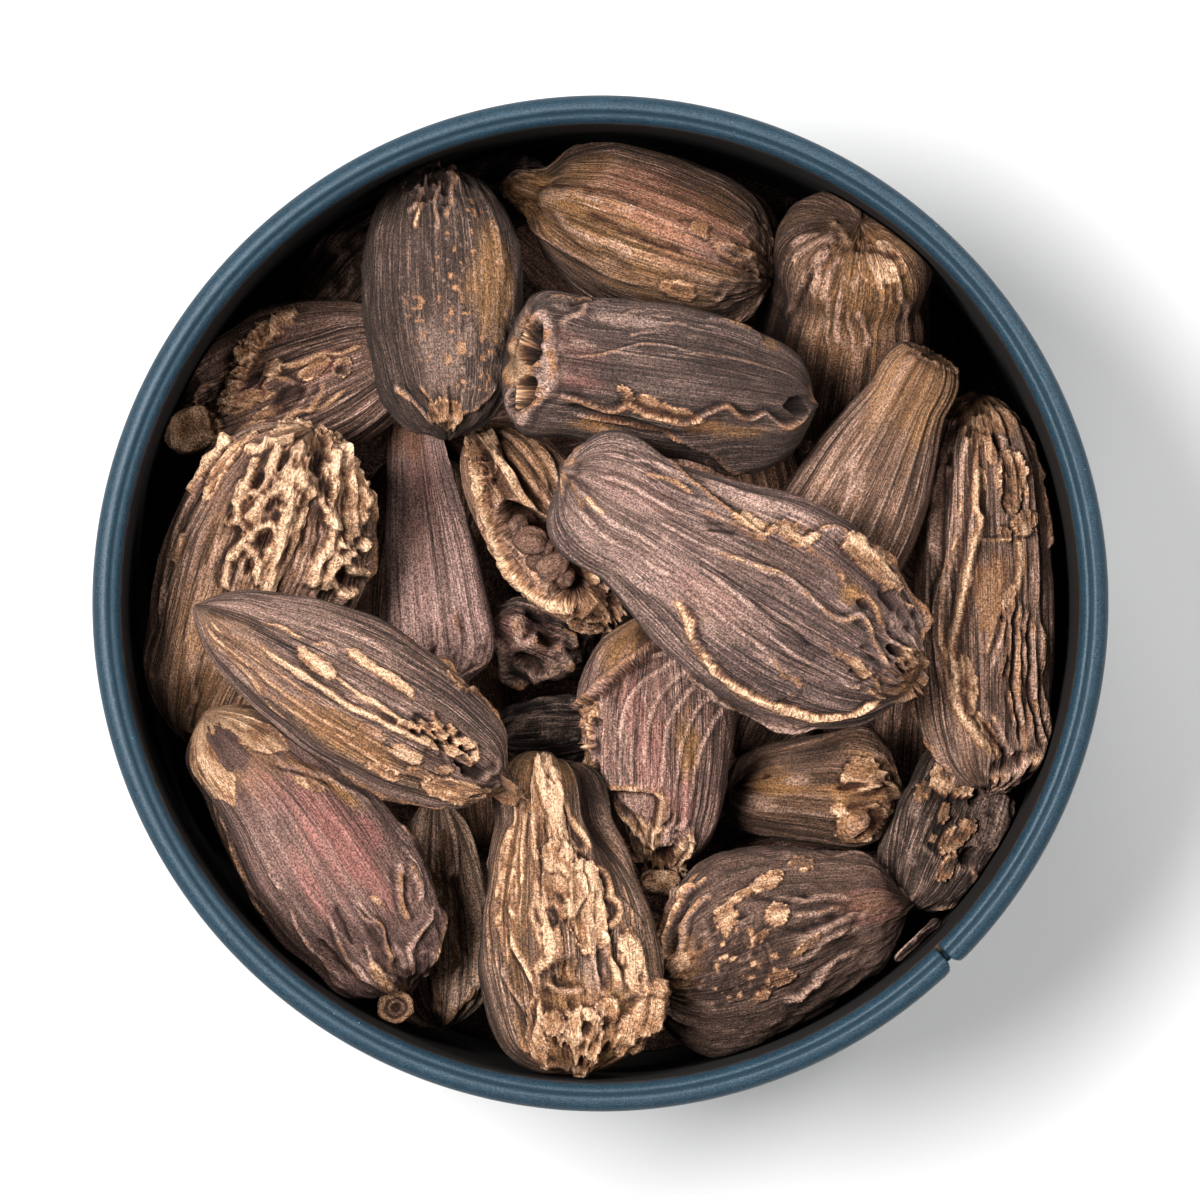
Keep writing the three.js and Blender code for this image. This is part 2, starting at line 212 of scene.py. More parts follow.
def oval_shape(heading, centre, size):
    """Points and triangles of an egg-like oval: size is its length, width and height."""
    rows, cols = 14, 24
    u = np.linspace(0, math.pi, rows)[:, None]
    v = around(cols)[None, :]
    x = -np.cos(u) + 0 * v
    wide = np.sin(u) ** 0.8 * (1 + 0.18 * np.cos(u))
    local = np.stack([x, wide * np.cos(v), wide * np.sin(v)], -1) * np.array(size) / 2
    c, s = cos_sin(heading)
    turn = np.array([[c, -s, 0], [s, c, 0], [0, 0, 1]])
    co = local.reshape(-1, 3) @ turn.T + np.array(centre)
    faces = []
    for q in grid_faces(rows, cols):
        faces += [(q[0], q[1], q[2]), (q[0], q[2], q[3])]
    return co, faces


# ---------------------------------------------------------------- a pod's surface

class Husk:
    """A pod as a grid over its CAD solid: rows run from its near tip to its far tip.

    Places on it are (along, across): along is 0 at the near tip and 1 at the far one, and
    across is -1 to 1 from the right edge to the left one, looking down from above and
    towards the far tip. via() gives lists of them in hundredths. Sizes, heights and depths
    are in millimetres, turns in degrees, and marks from 0 to 1. Every pattern adds a number
    of its own to the seed, so that no two patterns fall together.
    """

    TOP_BIAS = 0.42       # how much closer the columns lie on the upper side
    FAR_OUT = 60          # rays are cast inwards from this far off the axis
    COARSE = (49, 64)     # rows and columns of the first, ray-cast grid
    MIDDLE = slice(16, 33)
    SPECTRUM = 20         # how many waves round the girth the fine grid keeps
    FRILL_STEP, FRILL_THICK, FRILL_SINK, FRILL_WAVE = 0.28, 0.16, 0.3, 2.2

    def __init__(self, node, heading, spacing, seed, mirror=False, oval=None):
        self.node, self.seed = node, seed
        if oval is None:
            mesh = NODES[node].data
            co = np.array([v.co for v in mesh.vertices], float) / MM
            faces = [tuple(p.vertices) for p in mesh.polygons]
        else:
            co, faces = oval_shape(heading, *oval)
        tree = BVHTree.FromPolygons([Vector(p) for p in co], faces)
        self.find_axis(co, faces, heading)
        self.find_spine(co, tree)
        self.cast(tree, mirror)
        self.refine(spacing)
        self.height = np.zeros(self.shape)
        self.marks = {k: np.zeros(self.shape) for k in MARKS}
        self.extra = []

    def find_axis(self, co, faces, heading):
        """The pod's middle, its long axis, its up and side directions and its length."""
        tri = np.array([[co[f[0]], co[f[1]], co[f[2]]] for f in faces])
        area = np.linalg.norm(np.cross(tri[:, 1] - tri[:, 0], tri[:, 2] - tri[:, 0]), axis=1)
        middle = tri.mean(1)
        self.origin = (middle * area[:, None]).sum(0) / area.sum()
        d = middle - self.origin
        axis = np.linalg.eigh((d * area[:, None]).T @ d)[1][:, -1]
        towards = np.array([*cos_sin(heading), 0])
        self.axis = axis if axis @ towards > 0 else -axis
        up = np.array([0, 0, 1.0]) - self.axis * self.axis[2]
        self.up = up / np.linalg.norm(up)
        self.side = np.cross(self.up, self.axis)
        along = (co - self.origin) @ self.axis
        self.low, self.high = along.min(), along.max()
        self.length = self.high - self.low

    def find_spine(self, co, tree):
        """A smooth curve through the middle of the pod, from tip to tip."""
        rel = co - self.origin
        wide = np.ptp(rel @ self.side) / 2
        self.inset = min(0.9 * wide, 0.3 * self.length)
        stations = np.linspace(self.low + self.inset * 0.8, self.high - self.inset * 0.8, 12)
        angles = around(24)
        centres = []
        last = self.origin
        for s in stations:
            c = self.origin + self.axis * s
            for _ in range(3):
                hits = []
                for a in angles:
                    ray = self.up * math.cos(a) + self.side * math.sin(a)
                    hit = tree.ray_cast(Vector(c + ray * self.FAR_OUT), Vector(-ray))[0]
                    if hit is not None:
                        hits.append(np.array(hit))
                c = np.mean(hits, 0) if len(hits) > 12 else last
            last = c
            centres.append(c - self.origin)
        centres = np.array(centres)
        self.bend_up = np.polyfit(stations, centres @ self.up, 3)
        self.bend_side = np.polyfit(stations, centres @ self.side, 3)

    def spine(self, s):
        """Points of the spine at distances s along the axis."""
        return (self.origin + np.multiply.outer(s, self.axis)
                + np.multiply.outer(np.polyval(self.bend_up, s), self.up)
                + np.multiply.outer(np.polyval(self.bend_side, s), self.side))

    def rays(self, w, angles):
        """Ray centres (rows, 3) and directions (rows, cols, 3) for rows w from 0 to 1."""
        cap = self.inset * math.pi / 2
        body = self.length - 2 * self.inset
        total = 2 * cap + body
        walk = w * total
        s = self.low + self.inset + np.clip(walk - cap, 0, body)
        lean = np.where(walk < cap, -(1 - walk / cap), np.clip((walk - cap - body) / cap, 0, 1))
        lean = lean * math.pi / 2
        ring = (np.cos(angles)[None, :, None] * self.up
                + np.sin(angles)[None, :, None] * self.side)
        rays = np.cos(lean)[:, None, None] * ring + np.sin(lean)[:, None, None] * self.axis
        return self.spine(s), rays

    def cast(self, tree, mirror):
        """A coarse grid of how far the solid reaches from its spine.

        With mirror, the upper side takes the shape of the lower one.
        """
        rows, cols = self.COARSE
        w = np.linspace(0, 1, rows)
        angles = around(cols)
        centres, rays = self.rays(w, angles)
        reach = np.zeros((rows, cols))
        for i in range(rows):
            for j in range(cols):
                ray = rays[i, j]
                hit = tree.ray_cast(Vector(centres[i] + ray * self.FAR_OUT), Vector(-ray))[0]
                reach[i, j] = (np.array(hit) - centres[i]) @ ray if hit is not None else np.nan
        if mirror:
            other = (cols // 2 - np.arange(cols)) % cols
            upper = np.cos(angles) > -0.05
            reach[:, upper] = reach[:, other][:, upper]
        reach = np.where(np.isnan(reach), np.nanmedian(reach), reach)
        reach = blur_ring(reach, 5)
        reach = blur_rows(reach, 2)
        reach[0] = reach[0].mean()
        reach[-1] = reach[-1].mean()
        self.coarse = reach

    def refine(self, spacing):
        """The fine grid, with about this spacing, and what its points know of the pod."""
        radius = np.median(self.coarse[self.MIDDLE])
        girth = math.tau * radius
        total = self.inset * math.pi + self.length - 2 * self.inset
        rows = max(24, int(total / spacing))
        cols = max(36, int(girth / spacing * 1.05) // 2 * 2)
        w = np.linspace(0, 1, rows)
        t = np.arange(cols) / cols
        theta = math.tau * t - self.TOP_BIAS * np.sin(math.tau * t)
        spectrum = np.fft.rfft(self.coarse, axis=1)
        k = np.arange(spectrum.shape[1])
        weight = np.where(k == 0, 1, 2) / self.coarse.shape[1]
        wave = np.exp(1j * np.outer(k, theta)) * weight[:, None]
        smooth = (spectrum[:, :self.SPECTRUM] @ wave[:self.SPECTRUM]).real
        lines = np.linspace(0, 1, len(smooth))
        reach = np.stack([np.interp(w, lines, column) for column in smooth.T], 1)
        reach = blur_rows(reach, 12)
        centres, rays = self.rays(w, theta)
        self.shape = (rows, cols)
        self.base = centres[:, None] + rays * reach[..., None]
        self.theta = (theta + math.pi) % math.tau - math.pi
        self.w = w
        s = (self.base - self.origin) @ self.axis
        self.along = np.clip((s - self.low) / self.length, 0, 1)
        self.radius = radius
        across = self.base - self.spine(s.ravel()).reshape(self.base.shape)
        self.local = np.linalg.norm(across, axis=-1)
        self.s = s - self.low
        ring = np.broadcast_to(self.theta, self.shape)
        self.flow = np.stack([radius * np.cos(ring), radius * np.sin(ring), self.walk()], -1)
        self.reshape()

    def walk(self):
        """Distance along each column from the near tip, in millimetres."""
        step = np.linalg.norm(np.diff(self.base, axis=0), axis=-1).mean(1)
        path = np.concatenate([[0], np.cumsum(step)])
        return np.broadcast_to(path[:, None], self.shape)

    def face_out(self, points):
        """Outward normals of the grid."""
        down = np.gradient(points, axis=0)
        round_ = np.roll(points, -1, 1) - np.roll(points, 1, 1)
        n = np.cross(round_, down)
        n /= np.maximum(np.linalg.norm(n, axis=-1, keepdims=True), 1e-9)
        n[0], n[-1] = -self.axis, self.axis
        out = points - points.mean((0, 1))
        if (n * out).sum() < 0:
            n = -n
            n[0], n[-1] = -self.axis, self.axis
        return n

    def reshape(self):
        """Brings normals and places up to date with the base."""
        self.normal = self.face_out(self.base)
        self.see_from_above()

    def bend(self, amount, start, stop):
        """Shifts the husk sideways (left is positive) at the start end of a stretch."""
        share = ramp(self.along, min(start, stop), max(start, stop))
        if start < stop:
            share = 1 - share
        self.base = self.base + self.side * (amount * share)[..., None]
        self.reshape()

    def shift(self, x, y, z):
        """Moves the whole husk, in the tin's own directions."""
        self.base = self.base + np.array([x, y, z])
        self.reshape()

    def fatten(self, amount):
        """Moves the whole surface outwards."""
        self.base = self.base + self.normal * amount
        self.reshape()

    def blunt(self, near=0, far=0):
        """Fills out the shoulders of the near and the far tip."""
        cap = self.inset * math.pi / 2
        body = self.length - 2 * self.inset
        total = 2 * cap + self.length - 2 * self.inset
        walk = self.w * total
        at_near = np.sin(np.clip(walk / cap, 0, 1) * math.pi) ** 2
        at_far = np.sin(np.clip((total - walk) / cap, 0, 1) * math.pi) ** 2
        centres = self.spine(self.low + self.inset + np.clip(walk - cap, 0, body))
        grow = 1 + near * at_near + far * at_far
        self.base = centres[:, None] + (self.base - centres[:, None]) * grow[:, None, None]
        self.reshape()

    def flatten(self, near):
        """Cuts the near tip off square, so many millimetres in."""
        s = (self.base - self.origin) @ self.axis - self.low
        self.base = self.base + self.axis * np.clip(near - s, 0, None)[..., None]
        self.reshape()

    # ---- places on the surface

    def see_from_above(self):
        """Where each grid point shows from above, as (along, across)."""
        slices = 40
        flat = math.hypot(self.axis[0], self.axis[1])
        ahead = np.array([self.axis[0], self.axis[1], 0]) / flat
        rel = self.base - self.origin
        self.seen_along = ((rel @ ahead) / flat - self.low) / self.length
        sideways = rel @ self.side
        part = np.clip((self.seen_along * slices).astype(int), 0, slices - 1)
        left, right = np.zeros(slices), np.zeros(slices)
        for k in range(slices):
            here = sideways[part == k]
            left[k], right[k] = (here.max(), here.min()) if len(here) else (0.1, -0.1)
        left = np.convolve(np.pad(left, 2, "edge"), np.ones(5) / 5, "valid")
        right = np.convolve(np.pad(right, 2, "edge"), np.ones(5) / 5, "valid")
        half = np.maximum((left - right) / 2, 0.5)[part]
        self.seen_across = (sideways - ((left + right) / 2)[part]) / half
        self.seen_half = half
        self.hidden = self.normal[..., 2] < -0.1

    def find(self, a, x):
        """The (s, theta) of the surface point that shows at (along, across)."""
        off = (((self.seen_along - a) * self.length) ** 2
               + ((self.seen_across - x) * self.seen_half) ** 2 + 1e6 * self.hidden)
        i, j = np.unravel_index(np.argmin(off), self.shape)
        return self.s[i, j], self.theta[j]

    def line(self, places, steps=14):
        """A smooth line through (along, across) places, as (s, theta) points."""
        p = np.array([self.find(a, x) for a, x in places])
        if len(p) < 3:
            t = np.linspace(0, 1, steps)[:, None]
            return p[0] * (1 - t) + p[-1] * t
        q = np.concatenate([[2 * p[0] - p[1]], p, [2 * p[-1] - p[-2]]])
        out = []
        each = max(3, steps * 2 // len(p))
        for i in range(1, len(q) - 2):
            t = np.linspace(0, 1, each, endpoint=i == len(q) - 3)[:, None]
            a, b, c, d = q[i - 1], q[i], q[i + 1], q[i + 2]
            out.append(0.5 * (2 * b + (c - a) * t + (2 * a - 5 * b + 4 * c - d) * t ** 2
                              + (3 * b - a - 3 * c + d) * t ** 3))
        return np.concatenate(out)

    def girth_at(self, least):
        """Each point's distance from the spine, but no less than a share of the radius."""
        return np.maximum(self.local, least * self.radius)

    def near(self, places, wander=0, wave=2.5, seed=0):
        """Signed distance to a line through places, and how far along it (0 to 1)."""
        pts = self.line(places)
        shift = 0.0
        if wander:
            shift = wander * fractal(self.flow / wave + seed * 7.3, 2, self.seed + seed)
        theta = np.broadcast_to(self.theta, self.shape)
        best = np.full(self.shape, 1e9)
        signed = np.zeros(self.shape)
        where = np.zeros(self.shape)
        lengths = np.linalg.norm(np.diff(pts * [1, self.radius], axis=0), axis=1)
        total = max(lengths.sum(), 1e-6)
        begun = 0.0
        local = self.girth_at(0.25)
        for (s0, a0), (s1, a1), size in zip(pts[:-1], pts[1:], lengths):
            px, py = self.s - s0, (theta - a0) * local
            dx, dy = s1 - s0, (a1 - a0) * local
            square = np.maximum(dx * dx + dy * dy, 1e-9)
            t = np.clip((px * dx + py * dy) / square, 0, 1)
            away = np.hypot(px - t * dx, py - t * dy)
            turn = np.sign(px * dy - py * dx)
            closer = away < best
            best = np.where(closer, away, best)
            signed = np.where(closer, away * turn, signed)
            where = np.where(closer, (begun + t * size) / total, where)
            begun += size
        return signed + shift, where

    def spot(self, centre, size, turn=0):
        """0 at the middle of an oval, 1 on its edge. size is its half-length and half-width."""
        s0, a0 = self.find(*centre)
        theta = np.broadcast_to(self.theta, self.shape)
        x = self.s - s0
        y = ((theta - a0 + math.pi) % math.tau - math.pi) * self.girth_at(0.3)
        return self.oval_distance(x, y, size, turn)

    @staticmethod
    def oval_distance(x, y, size, turn):
        """0 at the middle of a turned oval and 1 on its edge."""
        c, s = cos_sin(turn)
        return np.hypot((x * c + y * s) / size[0], (y * c - x * s) / size[1])

    def seen_spot(self, centre, size, turn):
        """Like spot, but an oval as it shows from above, on the upper side alone."""
        x = (self.seen_along - centre[0]) * self.length
        here = np.abs(self.seen_along - centre[0]) < 0.06
        half = np.median(self.seen_half[here]) if here.any() else self.radius
        y = self.seen_across * self.seen_half - centre[1] * half
        return self.oval_distance(x, y, size, turn) + 9 * ramp(-self.normal[..., 2], 0.1, 0.3)

    # ---- relief and marks

    def add(self, mark, amount):
        """Marks the surface at least this strongly."""
        self.marks[mark] = np.clip(np.maximum(self.marks[mark], amount), 0, 1)

    def deepen(self, mark, amount):
        """Adds to what a mark already is."""
        self.marks[mark] = np.clip(self.marks[mark] + amount, 0, 1)

    def lumps(self, size, height, seed=0):
        """Broad soft bumps all over."""
        self.height += height * fractal(self.flow / size, 2, self.seed + 3 + seed)

    def swell(self, centre, size, amount):
        """Pushes the surface out, or in, over a broad soft oval."""
        self.height += amount * np.exp(-1.2 * self.spot(centre, size) ** 2)

    def crumple(self, centre, size, height=0.6, grain=2.2, seed=0):
        """Sharp wrinkles in every direction inside an oval."""
        inside = ramp(1.3 - self.spot(centre, size), 0, 0.6)
        warp = [fractal(self.flow / 3 + 9 * k, 2, self.seed + 100 + k) for k in range(3)]
        warp = np.stack(warp, -1)
        crest = ridged((self.flow + 1.2 * warp) / grain, 2, self.seed + 95 + seed)
        self.height += inside * height * (crest - 0.45)
        self.add("pale", 0.7 * inside * ramp(crest, 0.7, 0.95))
        # Painted shade in the troughs of the wrinkles.
        self.add("dark", 0.6 * inside * ramp(1 - crest, 0.65, 0.95))

    def ribs(self, width, run, height, pale, wander=0.5, seed=0, twist=0):
        """Long ridges that run from tip to tip, uneven and now and then forked."""
        bend = fractal(self.flow / 6.0, 2, self.seed + 5 + seed)
        f = self.flow.copy()
        turn = wander * bend / self.radius + math.radians(twist) * (1 - ramp(self.along, 0, 0.6))
        x, y = f[..., 0].copy(), f[..., 1].copy()
        f[..., 0] = x * np.cos(turn) - y * np.sin(turn)
        f[..., 1] = x * np.sin(turn) + y * np.cos(turn)
        f = f / [width, width, run]
        crest = ridged(f, 1, self.seed + 11 + seed)
        ends = ramp(self.local, 0.1 * self.radius, 0.7 * self.radius)
        self.height += height * (crest - 0.5) * (0.35 + 0.65 * ends)
        strength = ramp(crest, 0.72, 1.0) * (0.4 + 0.6 * ramp(bend, -0.3, 0.5))
        self.deepen("pale", pale * strength)
        # Painted shade in the furrows between the ridges.
        self.deepen("dark", 0.45 * pale * ramp(1 - crest, 0.75, 1.0))

    def fold(self, places, width, height, tan, seed=0, wander=0.5, rag=0.5, lean=0, wave=2.5,
             taper=0.12):
        """A raised edge of husk along a line: steep on one side, easing off on the other."""
        d, t = self.near(places, wander, wave, seed)
        size = width * (1 + rag * 0.5 * fractal(self.flow / 2.2, 2, self.seed + 40 + seed))
        size = np.maximum(size, 0.2 * width)
        way = math.copysign(1, lean) if lean else (-1) ** seed
        x = way * d / size
        crest = np.exp(-(1.3 * x) ** 2)
        body = np.where(x > 0, 0.5 * np.exp(-(x / 2.8) ** 2) + 0.5 * crest, np.exp(-(1.7 * x) ** 2))
        ends = eased(t, taper)
        lump = 1 + rag * fractal(self.flow / 1.3, 2, self.seed + 50 + seed)
        broken = 0.45 + 0.55 * ramp(fractal(self.flow / 1.9, 2, self.seed + 55 + seed), -0.45, 0.1)
        self.height += height * body * ends * np.clip(lump, 0.15, 2)
        self.add("tan", tan * ends * ramp(crest * broken * np.clip(lump, 0, 1.5), 0.4, 1.0))
        self.add("pale", 0.75 * ends * ramp(crest, 0.35, 0.9))
        # A painted shadow at the foot of the steep side.
        self.add("dark", 0.75 * ends * np.exp(-((x + 1.35) / 0.45) ** 2))

    def strip(self, places, width, strength=1, rag=0.7, height=0.12, seed=0, mark="tan",
              taper=0.12):
        """A crisp ragged streak of another colour along a line, a little raised."""
        d, t = self.near(places, 0.1, 2.0, seed)
        ends = eased(t, taper)
        wobble = fractal(self.flow / [1.1, 1.1, 1.6], 3, self.seed + 150 + seed)
        size = width * ends * (1 + rag * wobble)
        on = ramp(size - np.abs(d), -0.06, 0.1)
        self.height += height * on
        self.marks["dark"] *= 1 - 0.7 * on
        self.add(mark, strength * on)
        self.add("pale", 0.4 * on)
        # Painted shade along both edges of the raised streak.
        self.add("dark", 0.6 * ends * np.exp(-((np.abs(d) - size - 0.2) / 0.13) ** 2))

    def groove(self, places, width, depth, dark=0.9, seed=0, wander=0.4, taper=0.15):
        """A furrow along a line, darkened with painted shade."""
        d, t = self.near(places, wander, 2.5, seed)
        ends = eased(t, taper)
        cut = np.exp(-(d / width) ** 2) * ends
        self.height -= depth * cut
        self.add("dark", dark * ramp(cut, 0.3, 0.9))

    def layer(self, places, reach, lift, tan, rag, side=1, rim=0.26, under=0.3, below=2.5, seed=0,
              dark=0.8):
        """A torn edge of skin: a step up to the left of the line, pale along its rim.

        What is bared on the low side is smoother and darker as far as below.
        """
        d, t = self.near(places)
        d = side * d + rag * fractal(self.flow / 2.2, 2, self.seed + 20 + seed)
        d = d + 0.25 * rag * fractal(self.flow / 0.6, 2, self.seed + 21 + seed)
        ends = eased(t, 0.1)
        broken = ramp(fractal(self.flow / 3.0, 2, self.seed + 22 + seed), -0.45, 0.0)
        on = ramp(d, -0.1, 0.1) * np.exp(-(np.clip(d, 0, 99) / reach) ** 2)
        edge = np.exp(-((d - 0.7 * rim) / rim) ** 2) * ends
        self.height += ends * lift * on + 0.45 * lift * edge * (0.4 + 0.6 * broken)
        self.add("tan", tan * edge * (0.35 + 0.65 * broken))
        # A painted shadow along the foot of the step.
        self.add("dark", dark * ends * np.exp(-((d + 0.24) / 0.2) ** 2) * (0.5 + 0.5 * broken))
        self.add("dark", under * ends * (d < 0) * np.exp(-(d / below) ** 2))

    def plate(self, centre, size, lift, cover, crumple, core=0.6, seed=0, turn=0, tan=1, grain=2,
              stretch=1):
        """A patch of peeling skin: raised, ragged, with a pale curled rim round a darker core."""
        edge = self.spot(centre, size, turn)
        f = self.flow / [grain, grain, grain * stretch]
        field = fractal(f, 3, self.seed + 60 + seed, 0.6) + (cover - 0.5) * 2
        field = field + 0.8 - 1.4 * np.clip(edge, 0, 2) ** 2
        skin = ramp(field, -0.03, 0.09)
        # A painted shadow in a thin ring just outside the plate's edge.
        shade = np.exp(-((field + 0.14) / 0.1) ** 2)
        rim = np.exp(-((field - 0.12) / 0.13) ** 2)
        wrinkle = ridged(self.flow / [1.0, 1.0, 1.0 + stretch], 2, self.seed + 70 + seed)
        mottle = fractal(self.flow / [0.8, 0.8, 1.6], 3, self.seed + 75 + seed, 0.6)
        self.height += lift * skin * (0.75 + 0.5 * rim) + crumple * skin * (wrinkle - 0.4)
        inner = core * np.clip(0.75 + 0.9 * mottle + 0.5 * (wrinkle - 0.5), 0.1, 1.2)
        self.add("tan", tan * skin * np.clip(inner + rim * (0.9 + 0.5 * mottle), 0, 1))
        self.add("pale", 0.55 * skin * ramp(wrinkle, 0.6, 0.95))
        # The painted shadow round the plate.
        self.add("dark", 0.8 * shade * (edge < 1.5))

    def stain(self, mark, centre, size, strength, grain=3, turn=0, seed=0):
        """A soft patch of another colour."""
        edge = self.spot(centre, size, turn)
        blur = fractal(self.flow / [grain, grain, grain * 2], 3, self.seed + 80 + seed)
        self.add(mark, strength * ramp(1.35 - edge + 0.6 * blur, 0.0, 0.9))

    def pit(self, centre, size, depth, turn=0, dark=1, seen=False):
        """A hole, darkened with painted shade. With seen, its oval is the one that shows from above."""
        edge = self.seen_spot(centre, size, turn) if seen else self.spot(centre, size, turn)
        edge = edge + 0.25 * fractal(self.flow / 0.9, 2, self.seed + 90)
        hole = ramp(1.15 - edge, 0.0, 0.5)
        self.height -= depth * hole
        shade = ramp(1.22 - edge, 0.0, 0.3)
        for mark in ("tan", "pale"):
            self.marks[mark] *= 1 - 0.85 * shade
        self.add("dark", dark * shade)

    def grit(self, centre, size, amount):
        """Fine grains of dust and seed that cling to the husk."""
        inside = ramp(1.4 - self.spot(centre, size), 0, 0.7)
        grains = ramp(noise(self.flow / 0.42, self.seed + 120), 0.35, 0.7)
        self.height += 0.16 * amount * inside * grains
        dust = ramp(noise(self.flow / 0.5, self.seed + 121), 0.5, 0.7)
        self.add("pale", 0.8 * amount * inside * dust)
        specks = ramp(noise(self.flow / 0.6, self.seed + 122), 0.45, 0.6)
        self.marks["dark"] *= 1 - inside * specks
        self.add("tan", 0.8 * amount * inside * specks)

    def above(self, place, off):
        """A point off the surface at (along, across)."""
        s, a = self.find(*place)
        return self.surface(np.array([s]), np.array([a]))[0][0] + np.array(off)

    def stick(self, strip, flow=None, **marks):
        """Keeps a closed strip of rings, with its marks, for the finished piece."""
        zero = np.zeros(strip.shape[:2])
        marks = {k: marks.get(k, 0) + zero for k in MARKS}
        self.extra.append((strip, strip if flow is None else flow, marks))

    def stub(self, place, radius, tall, aim, off):
        """A short hollow stalk end that points along aim, ringed like a cut stem."""
        p = self.above(place, off)
        n = np.array(aim) / np.linalg.norm(aim)
        u = np.cross(n, [0.0, 0.0, 1.0])
        u = u / max(np.linalg.norm(u), 1e-6) if np.linalg.norm(u) > 0.05 else self.side
        v = np.cross(n, u)
        profile = ((0.75, -0.6), (0.95, 0), (1, 0.45), (0.9, 0.7), (1.05, 0.9), (0.9, 1.05), (0.7, 1),
                   (0.62, 0.75), (0.5, 0.8), (0.42, 0.95), (0.3, 0.9), (0.22, 0.6), (0.02, 0.55))
        lip, ring_inside, floor = 6, 9, 11
        cols = 28
        turn = around(cols)
        ring = np.cos(turn)[:, None] * u + np.sin(turn)[:, None] * v
        rings = []
        for k, (r, z) in enumerate(profile):
            q = np.stack([np.cos(turn) * 1.3, np.sin(turn) * 1.3, np.full(cols, k * 0.35)], 1)
            wob = 1 + 0.16 * fractal(q * 1.4, 2, self.seed + 130)
            up = n * tall * (z * (0.9 + 0.1 * wob))[:, None]
            rings.append(p + ring * (radius * r * wob)[:, None] + up)
        strip = np.stack(rings, 0)
        level = np.arange(len(profile))[:, None] * np.ones(strip.shape[:2])
        # Painted shade inside the hollow, darkest on its floor, and at its foot.
        dark = np.where((level > lip) & (level != ring_inside), 0.8, 0.1) + 0.5 * (level < 1)
        dark = np.where(level >= floor, 1.0, dark)
        self.stick(strip, tan=0.6 * (level > 1) * (level <= lip), pale=0.3, dark=np.clip(dark, 0, 1),
                   ochre=0.4)

    def knob(self, place, size, off, turn=0):
        """A small rough lump, such as a broken stalk end, that lies level."""
        p = self.above(place, off)
        rows, cols = 14, 26
        v, w = np.meshgrid(np.linspace(0.1, math.pi - 0.1, rows), around(cols), indexing="ij")
        ball = np.stack([np.cos(v), np.sin(v) * np.cos(w), np.sin(v) * np.sin(w)], -1)
        ball = np.sign(ball) * np.abs(ball) ** 0.75
        rough = fractal(ball * 1.6, 3, self.seed + 140)
        q = ball * (1 + 0.2 * rough)[..., None] * size
        c, n = cos_sin(turn)
        x, y, z = q[..., 0], q[..., 1], q[..., 2]
        strip = p + np.stack([x * c - y * n, x * n + y * c, z], -1)
        # Painted shade in the knob's dents.
        self.stick(strip, tan=0.75 + 0.5 * rough, pale=0.3, dark=np.clip(-1.6 * rough - 0.3, 0, 1))

    def surface(self, s, theta):
        """Points and outward normals of the finished relief at (s, theta) places."""
        row_s = self.s.mean(1)
        rows = np.interp(s, row_s, np.arange(len(row_s)))
        lines = self.theta % math.tau
        cols = np.interp(theta % math.tau, np.append(lines, lines[0] + math.tau), np.arange(len(lines) + 1))
        i0 = np.clip(np.floor(rows).astype(int), 0, self.shape[0] - 2)
        j0 = np.floor(cols).astype(int) % self.shape[1]
        j1 = (j0 + 1) % self.shape[1]
        fi, fj = (rows - i0)[:, None], (cols - np.floor(cols))[:, None]

        def pick(g):
            return ((g[i0, j0] * (1 - fj) + g[i0, j1] * fj) * (1 - fi)
                    + (g[i0 + 1, j0] * (1 - fj) + g[i0 + 1, j1] * fj) * fi)

        n = pick(self.normal)
        p = pick(self.base + self.normal * self.height[..., None])
        return p, n / np.linalg.norm(n, axis=1, keepdims=True)

    def frill(self, places, reach, lean, tan, seed, rag=0.6, pale=0.3):
        """A thin ragged edge of husk that stands off the surface along a line."""
        pts = self.line(places, 20)
        gaps = np.linalg.norm(np.diff(pts * [1, self.radius], axis=0), axis=1)
        path = np.concatenate([[0], np.cumsum(gaps)])
        count = max(8, int(path[-1] / self.FRILL_STEP))
        d = np.linspace(0, path[-1], count)
        s = np.interp(d, path, pts[:, 0])
        a = np.interp(d, path, pts[:, 1])
        q = np.stack([d, np.zeros(count), np.full(count, seed * 3.7)], 1)
        a = a + 0.35 * fractal(q / self.FRILL_WAVE, 2, self.seed + seed) / self.radius
        p, n = self.surface(s, a)
        tangent = np.gradient(p, axis=0)
        tangent /= np.linalg.norm(tangent, axis=1, keepdims=True)
        out = np.cross(tangent, n)
        ragged = np.clip(1 + rag * fractal(q / 1.5, 3, self.seed + 5 + seed), 0.1, 2)
        size = 0.75 * reach * eased(d / path[-1], 0.15, 0) * ragged
        tilt = lean + 0.5 * fractal(q / (self.FRILL_WAVE * 1.3), 2, self.seed + 9 + seed)
        levels = np.linspace(0, 1, 5)
        sheets = []
        for face in (1, -1):
            for k in levels[::face]:
                curl = tilt * (0.5 + 0.8 * k)
                away = n * np.cos(curl)[:, None] + out * np.sin(curl)[:, None]
                off = out * np.cos(curl)[:, None] - n * np.sin(curl)[:, None]
                half = self.FRILL_THICK / 2 * (1.25 - 0.75 * k) * face
                root = self.FRILL_SINK
                sheets.append(p - n * root + away * (size * k + root * k)[:, None] + off * half)
        flow = np.stack([self.radius * np.cos(a), self.radius * np.sin(a), s], 1)
        levels = np.concatenate([levels, levels[::-1]])[None, :]
        flow = flow[:, None] + levels[..., None] * reach * np.array([0.6, 0.6, 0.1])
        # Painted light and shade: tan and pale marks grow brighter towards the free edge, and the root is
        # darkened.
        light = 0.25 + 0.75 * levels
        streak = 0.55 + 0.6 * fractal(flow / 1.5, 2, self.seed + 13)
        self.stick(np.stack(sheets, 1), flow, tan=np.clip(0.8 * tan * light * (0.3 + 0.9 * streak), 0, 1),
                   pale=np.clip(pale * light, 0, 1), dark=np.clip(0.7 * (1 - levels * 2.2), 0, 1))

    # ---- the finished piece

